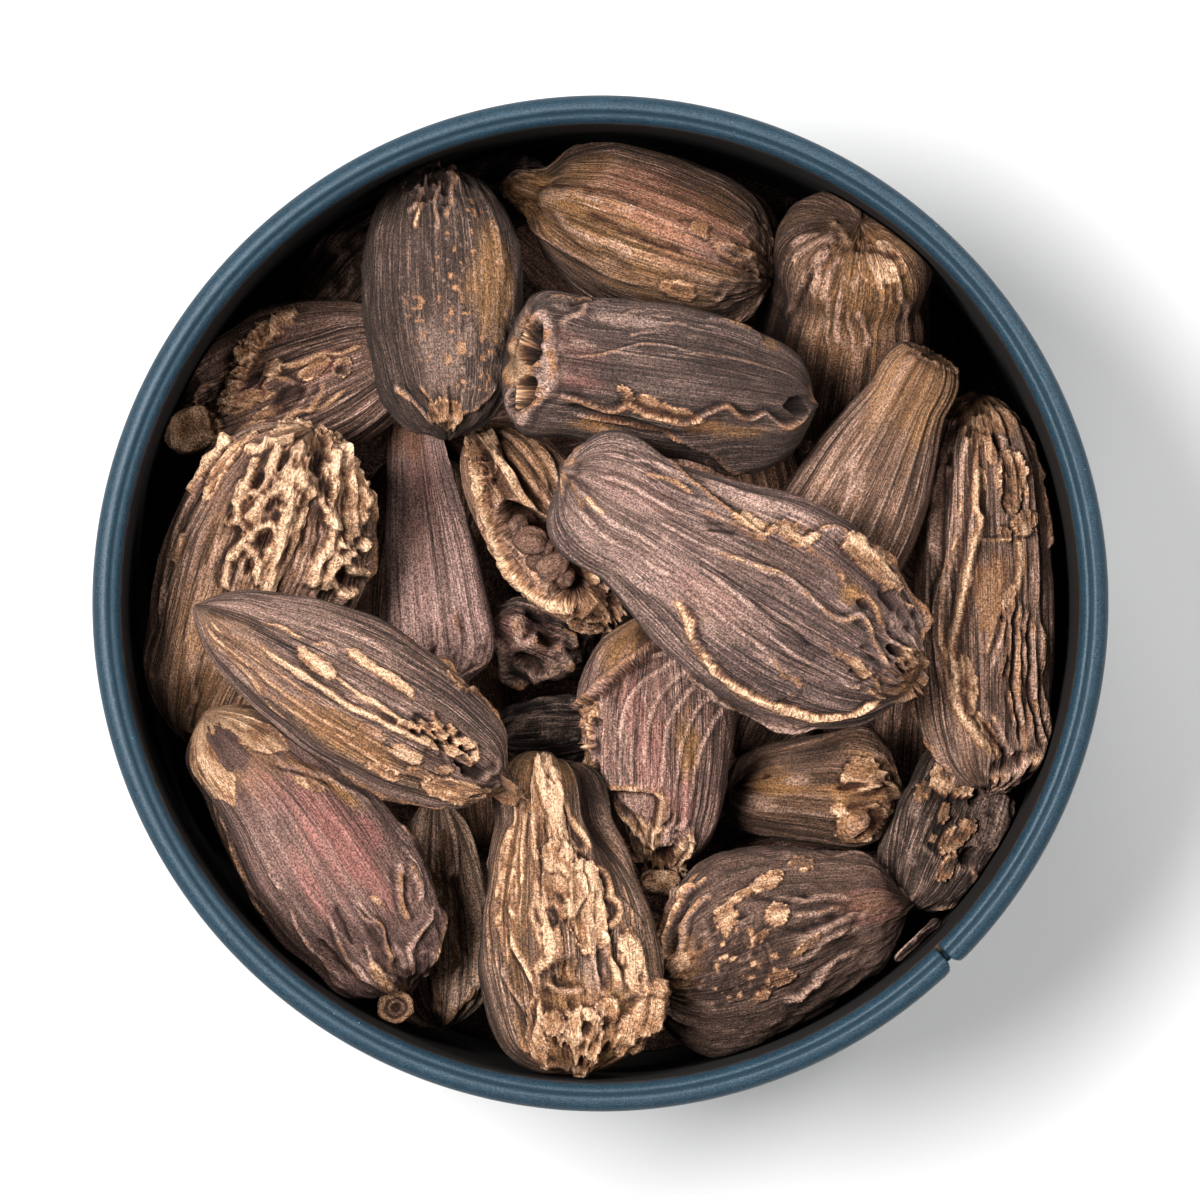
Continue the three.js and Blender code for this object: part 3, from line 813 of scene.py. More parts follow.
    def build(self, material, name=None):
        """Makes the piece: the husk's relief with its frills, stubs and knobs."""
        # Painted shade in the hollows of the relief; paler crests, partly wear and partly painted
        # highlight.
        cavity = blur_ring(blur_rows(self.height, 8), 8) - self.height
        self.deepen("dark", ramp(cavity, 0.04, 0.3) * 0.8)
        self.deepen("pale", ramp(-cavity, 0.05, 0.3) * 0.5)
        points = self.base + self.normal * self.height[..., None]
        points[0] = points[0].mean(0)
        points[-1] = points[-1].mean(0)
        rows, cols = self.shape
        verts = [points.reshape(-1, 3)]
        faces = grid_faces(rows, cols)
        flow = [self.flow.reshape(-1, 3)]
        marks = {k: [v.ravel()] for k, v in self.marks.items()}
        first = rows * cols
        for strip, f, m in self.extra:
            n, k = strip.shape[:2]
            verts.append(strip.reshape(-1, 3))
            flow.append(f.reshape(-1, 3))
            for key in marks:
                marks[key].append(m[key].ravel())
            faces += grid_faces(n, k, first)
            faces.append([first + c for c in range(k)][::-1])
            faces.append([first + (n - 1) * k + c for c in range(k)])
            first += n * k
        verts = np.concatenate(verts)
        verts[:, 2] = np.minimum(verts[:, 2], CAD_BOX[1][2] / MM - UNDER_TOP)
        away = np.hypot(verts[:, 0], verts[:, 1])
        verts[:, :2] *= np.minimum(1, IN_TIN / np.maximum(away, 1))[:, None]
        piece = make_mesh(name or self.node + "_husk", verts, faces,
                          {k: np.concatenate(v) for k, v in marks.items()},
                          {"flow": np.concatenate(flow)})
        close_poles(piece, rows, cols)
        place_piece(piece, material, self.node)


def close_poles(piece, rows, cols):
    """Joins the ring of equal points at each tip of a grid into one."""
    bm = bmesh.new()
    bm.from_mesh(piece.data)
    bm.verts.ensure_lookup_table()
    rings = [[bm.verts[r * cols + c] for c in range(cols)] for r in (0, rows - 1)]
    for ring in rings:
        if max((v.co - ring[0].co).length for v in ring) < 1e-6:
            bmesh.ops.pointmerge(bm, verts=ring, merge_co=ring[0].co.copy())
    bmesh.ops.recalc_face_normals(bm, faces=bm.faces)
    bm.to_mesh(piece.data)
    bm.free()
    piece.data.polygons.foreach_set("use_smooth", [True] * len(piece.data.polygons))


# ---------------------------------------------------------------- materials

class Graph:
    """Short hand for building a node material."""

    def __init__(self, name):
        self.material = bpy.data.materials.new(name)
        self.material.use_nodes = True
        self.tree = self.material.node_tree
        self.tree.nodes.clear()
        out = self.node("OutputMaterial")
        self.shader = self.node("BsdfPrincipled")
        self.tree.links.new(self.shader.outputs[0], out.inputs[0])

    def node(self, kind):
        return self.tree.nodes.new("ShaderNode" + kind)

    def fill(self, socket, value):
        """Sets a socket, or links it if the value is a socket too."""
        if isinstance(value, bpy.types.NodeSocket):
            self.tree.links.new(value, socket)
        else:
            socket.default_value = value

    def put(self, node, **values):
        """Fills inputs by name, with _ for a space."""
        for key, value in values.items():
            self.fill(node.inputs[key.replace("_", " ")], value)

    def attribute(self, name, output="Fac"):
        n = self.node("Attribute")
        n.attribute_name = name
        return n.outputs[output]

    def scaled(self, vector, scale, offset):
        n = self.node("Mapping")
        self.put(n, Vector=vector, Scale=scale, Location=offset)
        return n.outputs[0]

    def noise(self, vector, scale, detail, rough, distortion=0):
        n = self.node("TexNoise")
        self.put(n, Vector=vector, Scale=scale, Detail=detail, Roughness=rough,
                 Distortion=distortion)
        return n.outputs["Fac"]

    def ramp(self, fac, low, high, a=0, b=1):
        n = self.node("MapRange")
        n.interpolation_type = "SMOOTHSTEP"
        self.put(n, Value=fac, From_Min=low, From_Max=high, To_Min=a, To_Max=b)
        return n.outputs["Result"]

    def mix(self, fac, a, b, blend="MIX"):
        n = self.node("Mix")
        n.data_type = "RGBA"
        n.blend_type = blend
        for k, value in ((0, fac), (6, a), (7, b)):
            self.fill(n.inputs[k], value)
        return n.outputs[2]

    def math(self, kind, a, b):
        n = self.node("Math")
        n.operation = kind
        self.fill(n.inputs[0], a)
        self.fill(n.inputs[1], b)
        return n.outputs[0]

    def times(self, a, b):
        return self.math("MULTIPLY", a, b)

    def plus(self, a, b):
        return self.math("ADD", a, b)

    def grey(self, value):
        n = self.node("CombineColor")
        for k in range(3):
            self.fill(n.inputs[k], value)
        return n.outputs[0]

    def bump(self, height, distance, strength):
        n = self.node("Bump")
        self.put(n, Strength=strength, Distance=distance, Height=height)
        return n.outputs[0]


def tone(r, g, b):
    """A colour given as it looks on screen, 0 to 255, as linear light."""
    def one(v):
        v = v / 255
        return v / 12.92 if v <= 0.04045 else ((v + 0.055) / 1.055) ** 2.4
    return (one(r), one(g), one(b), 1.0)


def toned(colour, r, g, b):
    """A screen colour with each of its parts multiplied."""
    return tone(colour[0] * r, colour[1] * g, colour[2] * b)


# Screen colours that all husks share: bared fibre, reddish and ochre skin, worn crests.
TAN = (196, 160, 131)
RED = (150, 100, 92)
OCHRE = (150, 110, 68)
WORN = (220, 184, 166)
# Multiplied in where the dark mark lies: painted shade in hollows, and dark skin.
DARK_SKIN_AND_SHADE = (0.16, 0.105, 0.08, 1)


def husk_material(name, body, seed, lined=1, streak=2.4):
    """Dried ribbed husk: dark body, paler lines along it, tan where the skin peels.

    lined is how clearly the lines show, and streak how many there are to a millimetre.
    """
    g = Graph(name)
    deep = toned(body, 0.4, 0.4, 0.4)
    line = tone(*[v * 0.35 + w * 0.65 for v, w in zip(body, WORN)])
    # Patterns that run along the flow of the husk.
    flow = g.attribute("flow", "Vector")
    close = streak * 2.6
    lines = g.noise(g.scaled(flow, (streak, streak, 0.05), (seed, seed * 1.7, seed * 0.3)), 1, 5, 0.7,
                    0.12)
    fine = g.noise(g.scaled(flow, (close, close, 0.12), (seed, 0, 3.1)), 1, 4, 0.65)
    blotch = g.noise(g.scaled(flow, (0.25, 0.25, 0.14), (seed, 5, 0)), 1, 3, 0.6)
    scuff = g.noise(g.scaled(flow, (1.1, 1.1, 0.35), (seed, 2, 4)), 1, 4, 0.7)
    grain = g.noise(flow, 3.6, 3, 0.7)
    sand = g.noise(flow, 5.2, 2, 0.85)
    # The skin: its body, worn lines, darker blotches, then ochre and red.
    colour = g.mix(g.ramp(lines, 0.38, 0.58, 1 - lined), deep, tone(*body))
    worn = g.times(g.ramp(fine, 0.5, 0.62, 0, lined), g.ramp(scuff, 0.38, 0.62, 0.25))
    colour = g.mix(worn, colour, line)
    colour = g.mix(g.ramp(fine, 0.46, 0.34, 0, 0.6 * lined), colour, deep)
    colour = g.mix(g.ramp(blotch, 0.35, 0.7, 0, 0.4), colour, deep)
    ochre = g.times(g.attribute("ochre"), g.ramp(lines, 0.3, 0.6, 0.3, 0.85))
    colour = g.mix(ochre, colour, tone(*OCHRE))
    red = g.times(g.attribute("red"), g.ramp(lines, 0.36, 0.58, 0.2, 0.75))
    colour = g.mix(red, colour, tone(*RED))
    pale = g.times(g.attribute("pale"), g.ramp(grain, 0.34, 0.6, 0.3))
    colour = g.mix(g.times(pale, 0.85), colour, line)
    # Where it peels: bark at the edge, tan fibre inside, cream on the crests.
    peel = g.mix(g.ramp(scuff, 0.3, 0.66), toned(TAN, 0.8, 0.76, 0.7), tone(*TAN))
    peel = g.mix(g.ramp(fine, 0.5, 0.68, 0, 0.45), peel, toned(TAN, 0.62, 0.62, 0.62))
    tan = g.attribute("tan")
    colour = g.mix(g.ramp(tan, 0.03, 0.5), colour, toned(TAN, 0.68, 0.6, 0.52))
    colour = g.mix(g.ramp(tan, 0.3, 0.95), colour, peel)
    cream = g.times(g.ramp(tan, 0.4, 0.9, 0, 0.5), pale)
    colour = g.mix(cream, colour, toned(TAN, 1.1, 1.13, 1.16))
    # Painted shade in the hollows and dark skin where the dark mark lies, fine sand, and painted shade on
    # what faces down.
    colour = g.mix(g.times(g.attribute("dark"), 0.95), colour, g.mix(1, colour, DARK_SKIN_AND_SHADE, "MULTIPLY"))
    colour = g.mix(1, colour, g.grey(g.ramp(sand, 0.36, 0.64, 0.42, 1.58)), "MULTIPLY")
    # Painted shade: darker on faces that turn sideways and down.
    up = g.node("SeparateXYZ")
    g.fill(up.inputs[0], g.node("NewGeometry").outputs["Normal"])
    colour = g.mix(1, colour, g.grey(g.ramp(up.outputs[2], -0.1, 0.75, 0.5, 1.04)), "MULTIPLY")
    relief = g.plus(g.times(lines, 0.6), g.times(fine, 0.6))
    relief = g.plus(relief, g.times(g.plus(grain, sand), 0.35))
    g.put(g.shader, Base_Color=colour, Roughness=g.ramp(grain, 0.3, 0.7, 0.6, 0.85),
          Specular_IOR_Level=0.3, Normal=g.bump(relief, 0.0007, 1))
    return g.material


# ---------------------------------------------------------------- the tin

def tin_material():
    """Satin blue paint with a painted dark crest line; dark dusty metal inside, with painted shade lower
    down.
    """
    g = Graph("blue_satin_paint")
    place = g.node("TexCoord").outputs["Object"]
    grain = g.noise(place, 8200, 2, 0.7)
    cloud = g.noise(place, 420, 3, 0.55)
    dust = g.noise(place, 2600, 1, 0.4)
    smear = g.noise(place, 700, 4, 0.7)
    crest_reflection_and_slit_shade, inside = g.attribute("crest_reflection_and_slit_shade"), g.attribute("inside")
    paint = g.mix(g.ramp(grain, 0.36, 0.64), tone(17, 30, 38), tone(40, 61, 73))
    paint = g.mix(g.ramp(cloud, 0.35, 0.7, 0, 0.25), paint, tone(19, 34, 43))
    paint = g.mix(g.ramp(dust, 0.8, 0.84), paint, tone(120, 134, 142))
    # Painted reflection: a dark line along the bead's crest; painted shade in the slit.
    paint = g.mix(g.times(crest_reflection_and_slit_shade, 0.9), paint, tone(24, 37, 44))
    inside_dust_and_shade = g.mix(g.ramp(smear, 0.35, 0.7), tone(22, 19, 17), tone(74, 64, 56))
    # Painted shade: the inside wall turns near black a little way below the bead.
    inside_dust_and_shade = g.mix(g.attribute("deep"), inside_dust_and_shade, tone(19, 15, 13))
    g.put(g.shader, Base_Color=g.mix(inside, paint, inside_dust_and_shade), Roughness=g.ramp(inside, 0, 1, 0.38, 0.9),
          Specular_IOR_Level=g.ramp(crest_reflection_and_slit_shade, 0, 0.9, 0.25, 0.04),
          Normal=g.bump(g.plus(grain, cloud), 0.00007, 0.6))
    return g.material


def tin_profile():
    """Points (radius, height) from the underside's middle, over the bead, to the floor.

    Also the first row of the bead, and the first row past it.
    """
    out = [(r, 0) for r in (0, 12, 24, 34, 41)]
    for t in np.radians(np.linspace(0, 90, 7)):
        out.append((WALL_OUTSIDE - BASE_EDGE + BASE_EDGE * math.sin(t), BASE_EDGE * (1 - math.cos(t))))
    out += [(WALL_OUTSIDE, z) for z in (3, 7, 12, 17, 22, 27, 32, 35.5, 37.5, 38.3)]
    bead = len(out)
    for a in np.linspace(-122, 180, 46):
        t = math.radians(a)
        r = BEAD_RADIUS - 0.2 * math.exp(-((a - 104) / 11) ** 2)
        out.append((BEAD_CENTRE[0] + r * math.cos(t), BEAD_CENTRE[1] + r * math.sin(t)))
    over = len(out)
    out += [(WALL_INSIDE, z) for z in (39.2, 38.6, 37.8, 36.5, 34, 30, 25, 19, 13, 7, 3)]
    out += [(44.6, 1.3)] + [(r, FLOOR_TOP) for r in (43.9, 38, 22, 0)]
    return np.array(out), bead, over


def make_tin():
    """The tin turned round its profile, with a slit in the bead and a faint seam below it."""
    profile, bead, over = tin_profile()
    # Columns lie close together at the seam.
    seam = np.array([0.09, 0.17, 0.22, 0.3, 0.42, 0.6, 0.9, 1.3, 1.9]) / BEAD_REACH
    plain = np.arange(1, TIN_COLUMNS) * math.tau / TIN_COLUMNS
    plain = plain[(plain > 0.05) & (plain < math.tau - 0.05)]
    angle = np.sort(np.concatenate([-seam[::-1], [0], seam, plain]) % math.tau)
    off = (angle + math.pi) % math.tau - math.pi
    off_mm = off * BEAD_REACH
    n, k = len(profile), len(angle)
    r = np.repeat(profile[:, 0][:, None], k, 1)
    z = np.repeat(profile[:, 1][:, None], k, 1)
    row = np.arange(n)[:, None]
    # The slit, wider at the outside of the bead, with rounded lips.
    on_bead = (row >= bead) & (row < over)
    outward = np.clip((r - BEAD_CENTRE[0]) / BEAD_RADIUS, 0, 1)
    half = 0.16 + 0.34 * outward ** 3
    slit = on_bead * ramp(half + 0.08 - np.abs(off_mm)[None, :], 0, 0.1)
    lips = on_bead * 0.22 * np.exp(-((np.abs(off_mm)[None, :] - half) / 0.3) ** 2) * (1 - slit)
    scale = 1 - np.clip((0.85 * slit + lips * 0.6) / BEAD_RADIUS, 0, 0.7)
    r = np.where(on_bead, BEAD_CENTRE[0] + (r - BEAD_CENTRE[0]) * scale, r)
    z = np.where(on_bead, BEAD_CENTRE[1] + (z - BEAD_CENTRE[1]) * scale, z)
    # The outside of the wall: a seam line and slight dents.
    wall = (row >= 12) & (row < bead)
    around = np.stack(np.broadcast_arrays(np.cos(off) * 2.1, np.sin(off) * 2.1, z / 14), -1)
    r = r - wall * 0.10 * np.exp(-(off_mm / 0.22) ** 2) - wall * 0.09 * (fractal(around, 2, 5) + 1)
    a = angle + math.radians(SEAM_AZIMUTH)
    verts = np.stack([r * np.cos(a), r * np.sin(a), z], -1).reshape(-1, 3)
    # The crest line paints a dark reflection, and the slit is darkened as painted shade; deep paints shade
    # down the inside wall.
    crest = np.exp(-(((profile[:, 0] - BEAD_CENTRE[0] + 0.33) / 0.24) ** 2))[:, None] * on_bead
    marks = {"crest_reflection_and_slit_shade": np.clip(crest * (z > 40) * 0.95 + slit, 0, 1),
             "inside": ramp(row, over - 3.5, over - 1.5) * np.ones((n, k)),
             "deep": (row >= over) * ramp(38.9 - z, 0, 1.6)}
    piece = make_mesh("painted_tin", verts, grid_faces(n, k, flip=True), marks)
    close_poles(piece, n, k)
    place_piece(piece, tin_material(), "tin")


make_tin()


# ---------------------------------------------------------------- the lowest layer

def make_bed():
    """Pods that lie on the tin's floor, over a low core of crumbs and dust."""
    node, slot = "pod_bed", "husk_dark"
    # The body colours are lifted as painted light, against the shade deep in the tin.
    bodies = ((150, 116, 98), (164, 122, 96), (152, 114, 100))
    looks = [husk_material("bed_husk_%d" % k, body, 40 + 3 * k) for k, body in enumerate(bodies)]
    low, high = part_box(node)
    floor, top, reach = low.z / MM, high.z / MM, high.x / MM
    number = 0
    # Rings of pods: distance from the middle, how many, and where the first one lies.
    for radius, count, start in ((0.76 * reach, 10, 20), (0.42 * reach, 6, 45), (0.08 * reach, 1, 70)):
        for k in range(count):
            a = math.tau * k / count + math.radians(start)
            heading = math.degrees(a) + 78 + 24 * math.sin(number * 2.3)
            height = (top - floor) * (0.86 + 0.08 * math.sin(number * 1.7))
            size = (21 + 2.5 * math.sin(number * 3.1), 12.2 + math.sin(number * 1.3), height)
            centre = (radius * math.cos(a), radius * math.sin(a), floor + height / 2)
            h = Husk(node, heading, 0.7, 200 + number, oval=(centre, size))
            h.lumps(6, 0.25)
            h.ribs(1.7, 12, 0.4, 0.5)
            h.build(looks[number % 3], "bed_pod_%02d" % number)
            number += 1
    rows, cols = 9, 48
    r = np.linspace(0, reach - 0.6, rows)[:, None]
    a = around(cols)[None, :]
    x, y = r * np.cos(a), r * np.sin(a)
    z = floor + 2.2 + 0.8 * noise(np.stack([x / 5, y / 5, x * 0], -1), 3)
    z[-1] = floor + 0.05
    verts = np.stack([x, y, z], -1).reshape(-1, 3)
    under = verts[-cols:].copy()
    under[:, 2] = floor
    verts = np.concatenate([verts, under])
    faces = grid_faces(rows + 1, cols) + [list(range(rows * cols, (rows + 1) * cols))[::-1]]
    piece = make_mesh("bed_core", verts, faces, {"dark": np.full(len(verts), 0.5)}, {"flow": verts})
    close_poles(piece, rows, cols)
    place_piece(piece, looks[0], node)


make_bed()


# ---------------------------------------------------------------- the pods

def along(start, stop, *across):
    """Four places at even steps from start to stop."""
    step = (stop - start) / 3
    return list(zip((start, start + step, stop - step, stop), across))


def centre_big(h):
    """The biggest pod, across the middle: mauve-grey, with a torn tan fringe."""
    h.blunt(near=0.25)
    h.swell((0.34, 0.98), (8, 4), -1.3)
    h.swell((0.62, -0.95), (9, 4), 1)
    h.swell((0.86, 0.95), (5, 3), -0.5)
    h.lumps(9, 0.4)
    h.ribs(2.4, 26, 0.4, 0.25, 0.3, 1)
    h.ribs(0.8, 24, 0.2, 0.6, 0.2)
    h.stain("red", (0.47, -0.35), (5.5, 1.6), 0.4)
    h.stain("red", (0.13, 0.25), (4, 1.6), 0.2)
    h.stain("pale", (0.3, -0.35), (10, 2.4), 0.55, 1.6)
    h.stain("pale", (0.2, 0.25), (6, 1.5), 0.3, 1.6, seed=2)
    h.stain("dark", (0.58, 0.3), (6, 2.2), 0.6)
    h.stain("dark", (0.78, 0.62), (5.5, 1.6), 0.6)
    h.stain("dark", (0.7, -0.72), (6, 1.5), 0.5)
    h.stain("dark", (0.74, -0.3), (5, 2.2), 0.35)
    h.stain("dark", (0.6, -0.05), (6, 1.3), 0.3, seed=1)
    h.fold(via(2, 50, 0, 10, 2, -40), 0.6, 0.35, 0.8)
    h.fold(via(3, 0, 6, -15, 10, -30), 0.35, 0.3, 0.5)
    h.groove(via(36, 28, 40, 31, 44, 34), 0.22, 0.35)
    h.groove(via(34, 33, 42, 38, 50, 40), 0.2, 0.25, 0.6)
    h.layer(via(33, 36, 42, 38, 52, 36), 1.5, 0.15, 0.4, 0.2, -1, under=0.1)
    h.groove(via(52, -14, 60, -18, 68, -22, 75, -25), 0.22, 0.3)
    h.layer(via(19, 94, 27, 74, 33.5, 61, 39, 53, 44, 48, 49, 44, 50.3, 57, 54, 54, 57.5, 52, 60, 75,
                65, 90), 2.6, 0.5, 0.55, 0.15, rim=0.22, below=1.4)
    h.stain("pale", (0.4, 0.76), (5, 1), 0.8, 1.3)
    h.plate((0.455, 0.5), (2, 0.75), 0.15, 0.95, 0.1, turn=-4)
    h.plate((0.56, 0.62), (2.2, 0.8), 0.15, 0.95, 0.1, seed=1, turn=8)
    h.fold(via(60, 76, 64, 88, 68, 90), 0.25, 0.35, 0.8, taper=0.05)
    h.plate((0.76, 0.82), (3.4, 1.35), 0.5, 0.95, 0.3, 0.8, 2, 4)
    h.fold(via(80, 72, 84, 80, 87.5, 88, 90, 86), 0.35, 0.5, 0.9)
    h.pit((0.83, 0.66), (1.2, 0.5), 0.4)
    h.layer(via(59, 50, 64, 50, 69, 50, 72, 46), 1, 0.25, 0.8, 0.15, -1)
    h.layer(via(77, 47, 81, 46, 84, 38, 86.5, 35), 1, 0.25, 0.7, 0.15, -1, seed=2)
    h.stain("ochre", (0.745, 0.42), (1.3, 1), 1, 1)
    h.pit((0.782, 0.4), (0.7, 0.4), 0.5)
    crest = via(40, 8, 50, 14, 58.5, 19, 66, 16, 73, 12, 77, 15, 78.5, 26, 81, 30, 85, 19, 88, 11, 92, 2,
                95, 10)
    h.fold(crest, 0.36, 0.55, 0.85, wander=0.15, rag=0.4)
    h.layer(crest, 3, 0.15, 0, 0.1, -1, under=0.35, below=3)
    h.add("pale", 0.8 * np.exp(-(h.near(crest)[0] / 0.4) ** 2))
    h.fold(via(86, 34, 90, 34, 94, 38, 97, 28), 0.5, 0.8, 0.95)
    h.plate((0.945, 0.3), (1.1, 0.9), 0.4, 0.95, 0.3, 0.9, 5, 30)
    h.pit((0.905, 0.24), (0.85, 0.45), 1.3)
    h.groove(via(93, 20, 95.5, 10, 97, 0), 0.25, 0.7)
    h.groove(via(83, 5, 86, 3, 89, -4), 0.3, 0.5, 0.7)
    h.plate((0.832, -0.17), (1.5, 0.5), 0.25, 0.9, 0.2, seed=6)
    h.plate((0.868, -0.22), (0.9, 0.45), 0.25, 0.9, 0.2, seed=7, turn=-20)
    h.fold(via(87.5, -12, 90, -24, 93, -40), 0.3, 0.45, 0.5)
    h.groove(via(84, -26, 87, -32, 89, -36), 0.3, 0.5)
    h.plate((0.94, -0.22), (1.5, 1.1), 0.45, 0.95, 0.1, seed=4, tan=0.5)
    h.layer(via(90, -36, 93, -45, 95.5, -52), 1, 0.3, 0.9, 0.1)
    h.fold(via(76, -10, 77.5, -17, 80, -26), 0.2, 0.22, 0.5)
    h.fold(via(66, -50, 70, -60, 73, -57, 77, -60), 0.3, 0.35, 0.65)
    h.fold(via(83, -42, 86, -46, 88.5, -42), 0.3, 0.4, 0.6, 2)
    h.fold(via(74, -72, 75.5, -78), 0.25, 0.35, 0.5, 3)
    fringe = via(38.5, -58, 42, -60, 45, -65, 48, -75, 52, -80, 58, -84, 66, -86, 74, -86, 82, -85,
                 88, -82, 93, -70, 96, -50)
    h.layer(fringe, 2.5, 0.4, 1, 0.25, rim=0.3, under=0.35, below=1.6, seed=4)
    h.fold(fringe[:5], 0.45, 0.4, 0.95, wander=0.1)
    h.fold(fringe[4:8], 0.4, 0.3, 0.9, 1, 0.15, 0.8)
    h.layer(via(50, -97, 58, -100, 66, -100, 74, -97, 82, -93), 1, 0.3, 0.5, 0.1, seed=6)
    h.stain("ochre", (0.985, 0.1), (2, 2.6), 0.9)
    h.stain("tan", (0.985, 0.1), (1.6, 2), 0.5, 1.5)
    h.crumple((0.9, 0), (3.2, 4.2), 0.3, seed=5)
    h.crumple((0.93, 0.7), (3, 2.5), seed=6)
    h.frill(via(72, 95, 80, 100, 88, 100, 95, 80), 1.1, -0.4, 0.8, 1)
    h.frill(via(93, 85, 98, 50, 100, 10, 99, -30, 96, -60), 1.2, -0.3, 0.8, 2, 0.8)
    h.frill(via(50, -97, 60, -100, 72, -100, 84, -95), 0.8, 0.4, 0.3, 3, pale=0.8)
    h.strip(crest, 0.32, rag=0.5, height=0.1, mark="pale")
    h.strip(fringe, 0.22, 0.85, 1, seed=1)
    h.strip(via(42, 56, 45, 51, 49, 47), 0.55, rag=0.4, seed=2)
    h.strip(via(51.5, 60, 55, 57, 58.5, 58, 60, 72), 0.5, rag=0.4, seed=3)
    streaks = (via(3, -5, 10, -20, 20, -24, 32, -22), via(6, -30, 15, -45, 25, -45, 38, -38),
               via(8, 20, 16, 30, 25, 28, 34, 30), via(26, 5, 32, 6, 38, 8, 42, 10),
               via(40, -15, 48, -18, 56, -20, 64, -25), via(45, -42, 52, -45, 60, -48, 66, -50),
               via(54, -30, 62, -33, 70, -38, 78, -40), via(6, 50, 12, 62, 18, 72, 25, 72))
    for k, places in enumerate(streaks):
        h.strip(places, 0.15, rag=1.2, height=0.07, seed=10 + k, mark="pale")
        h.groove([(a, x + 0.1) for a, x in places], 0.2, 0.12, 0.6, 10 + k, 0.1)
    h.strip(via(8, -12, 11, -20, 14, -22), 0.18, 0.9, seed=20)
    h.strip(via(17, 55, 23, 60, 30, 55), 0.16, 0.6, seed=21)


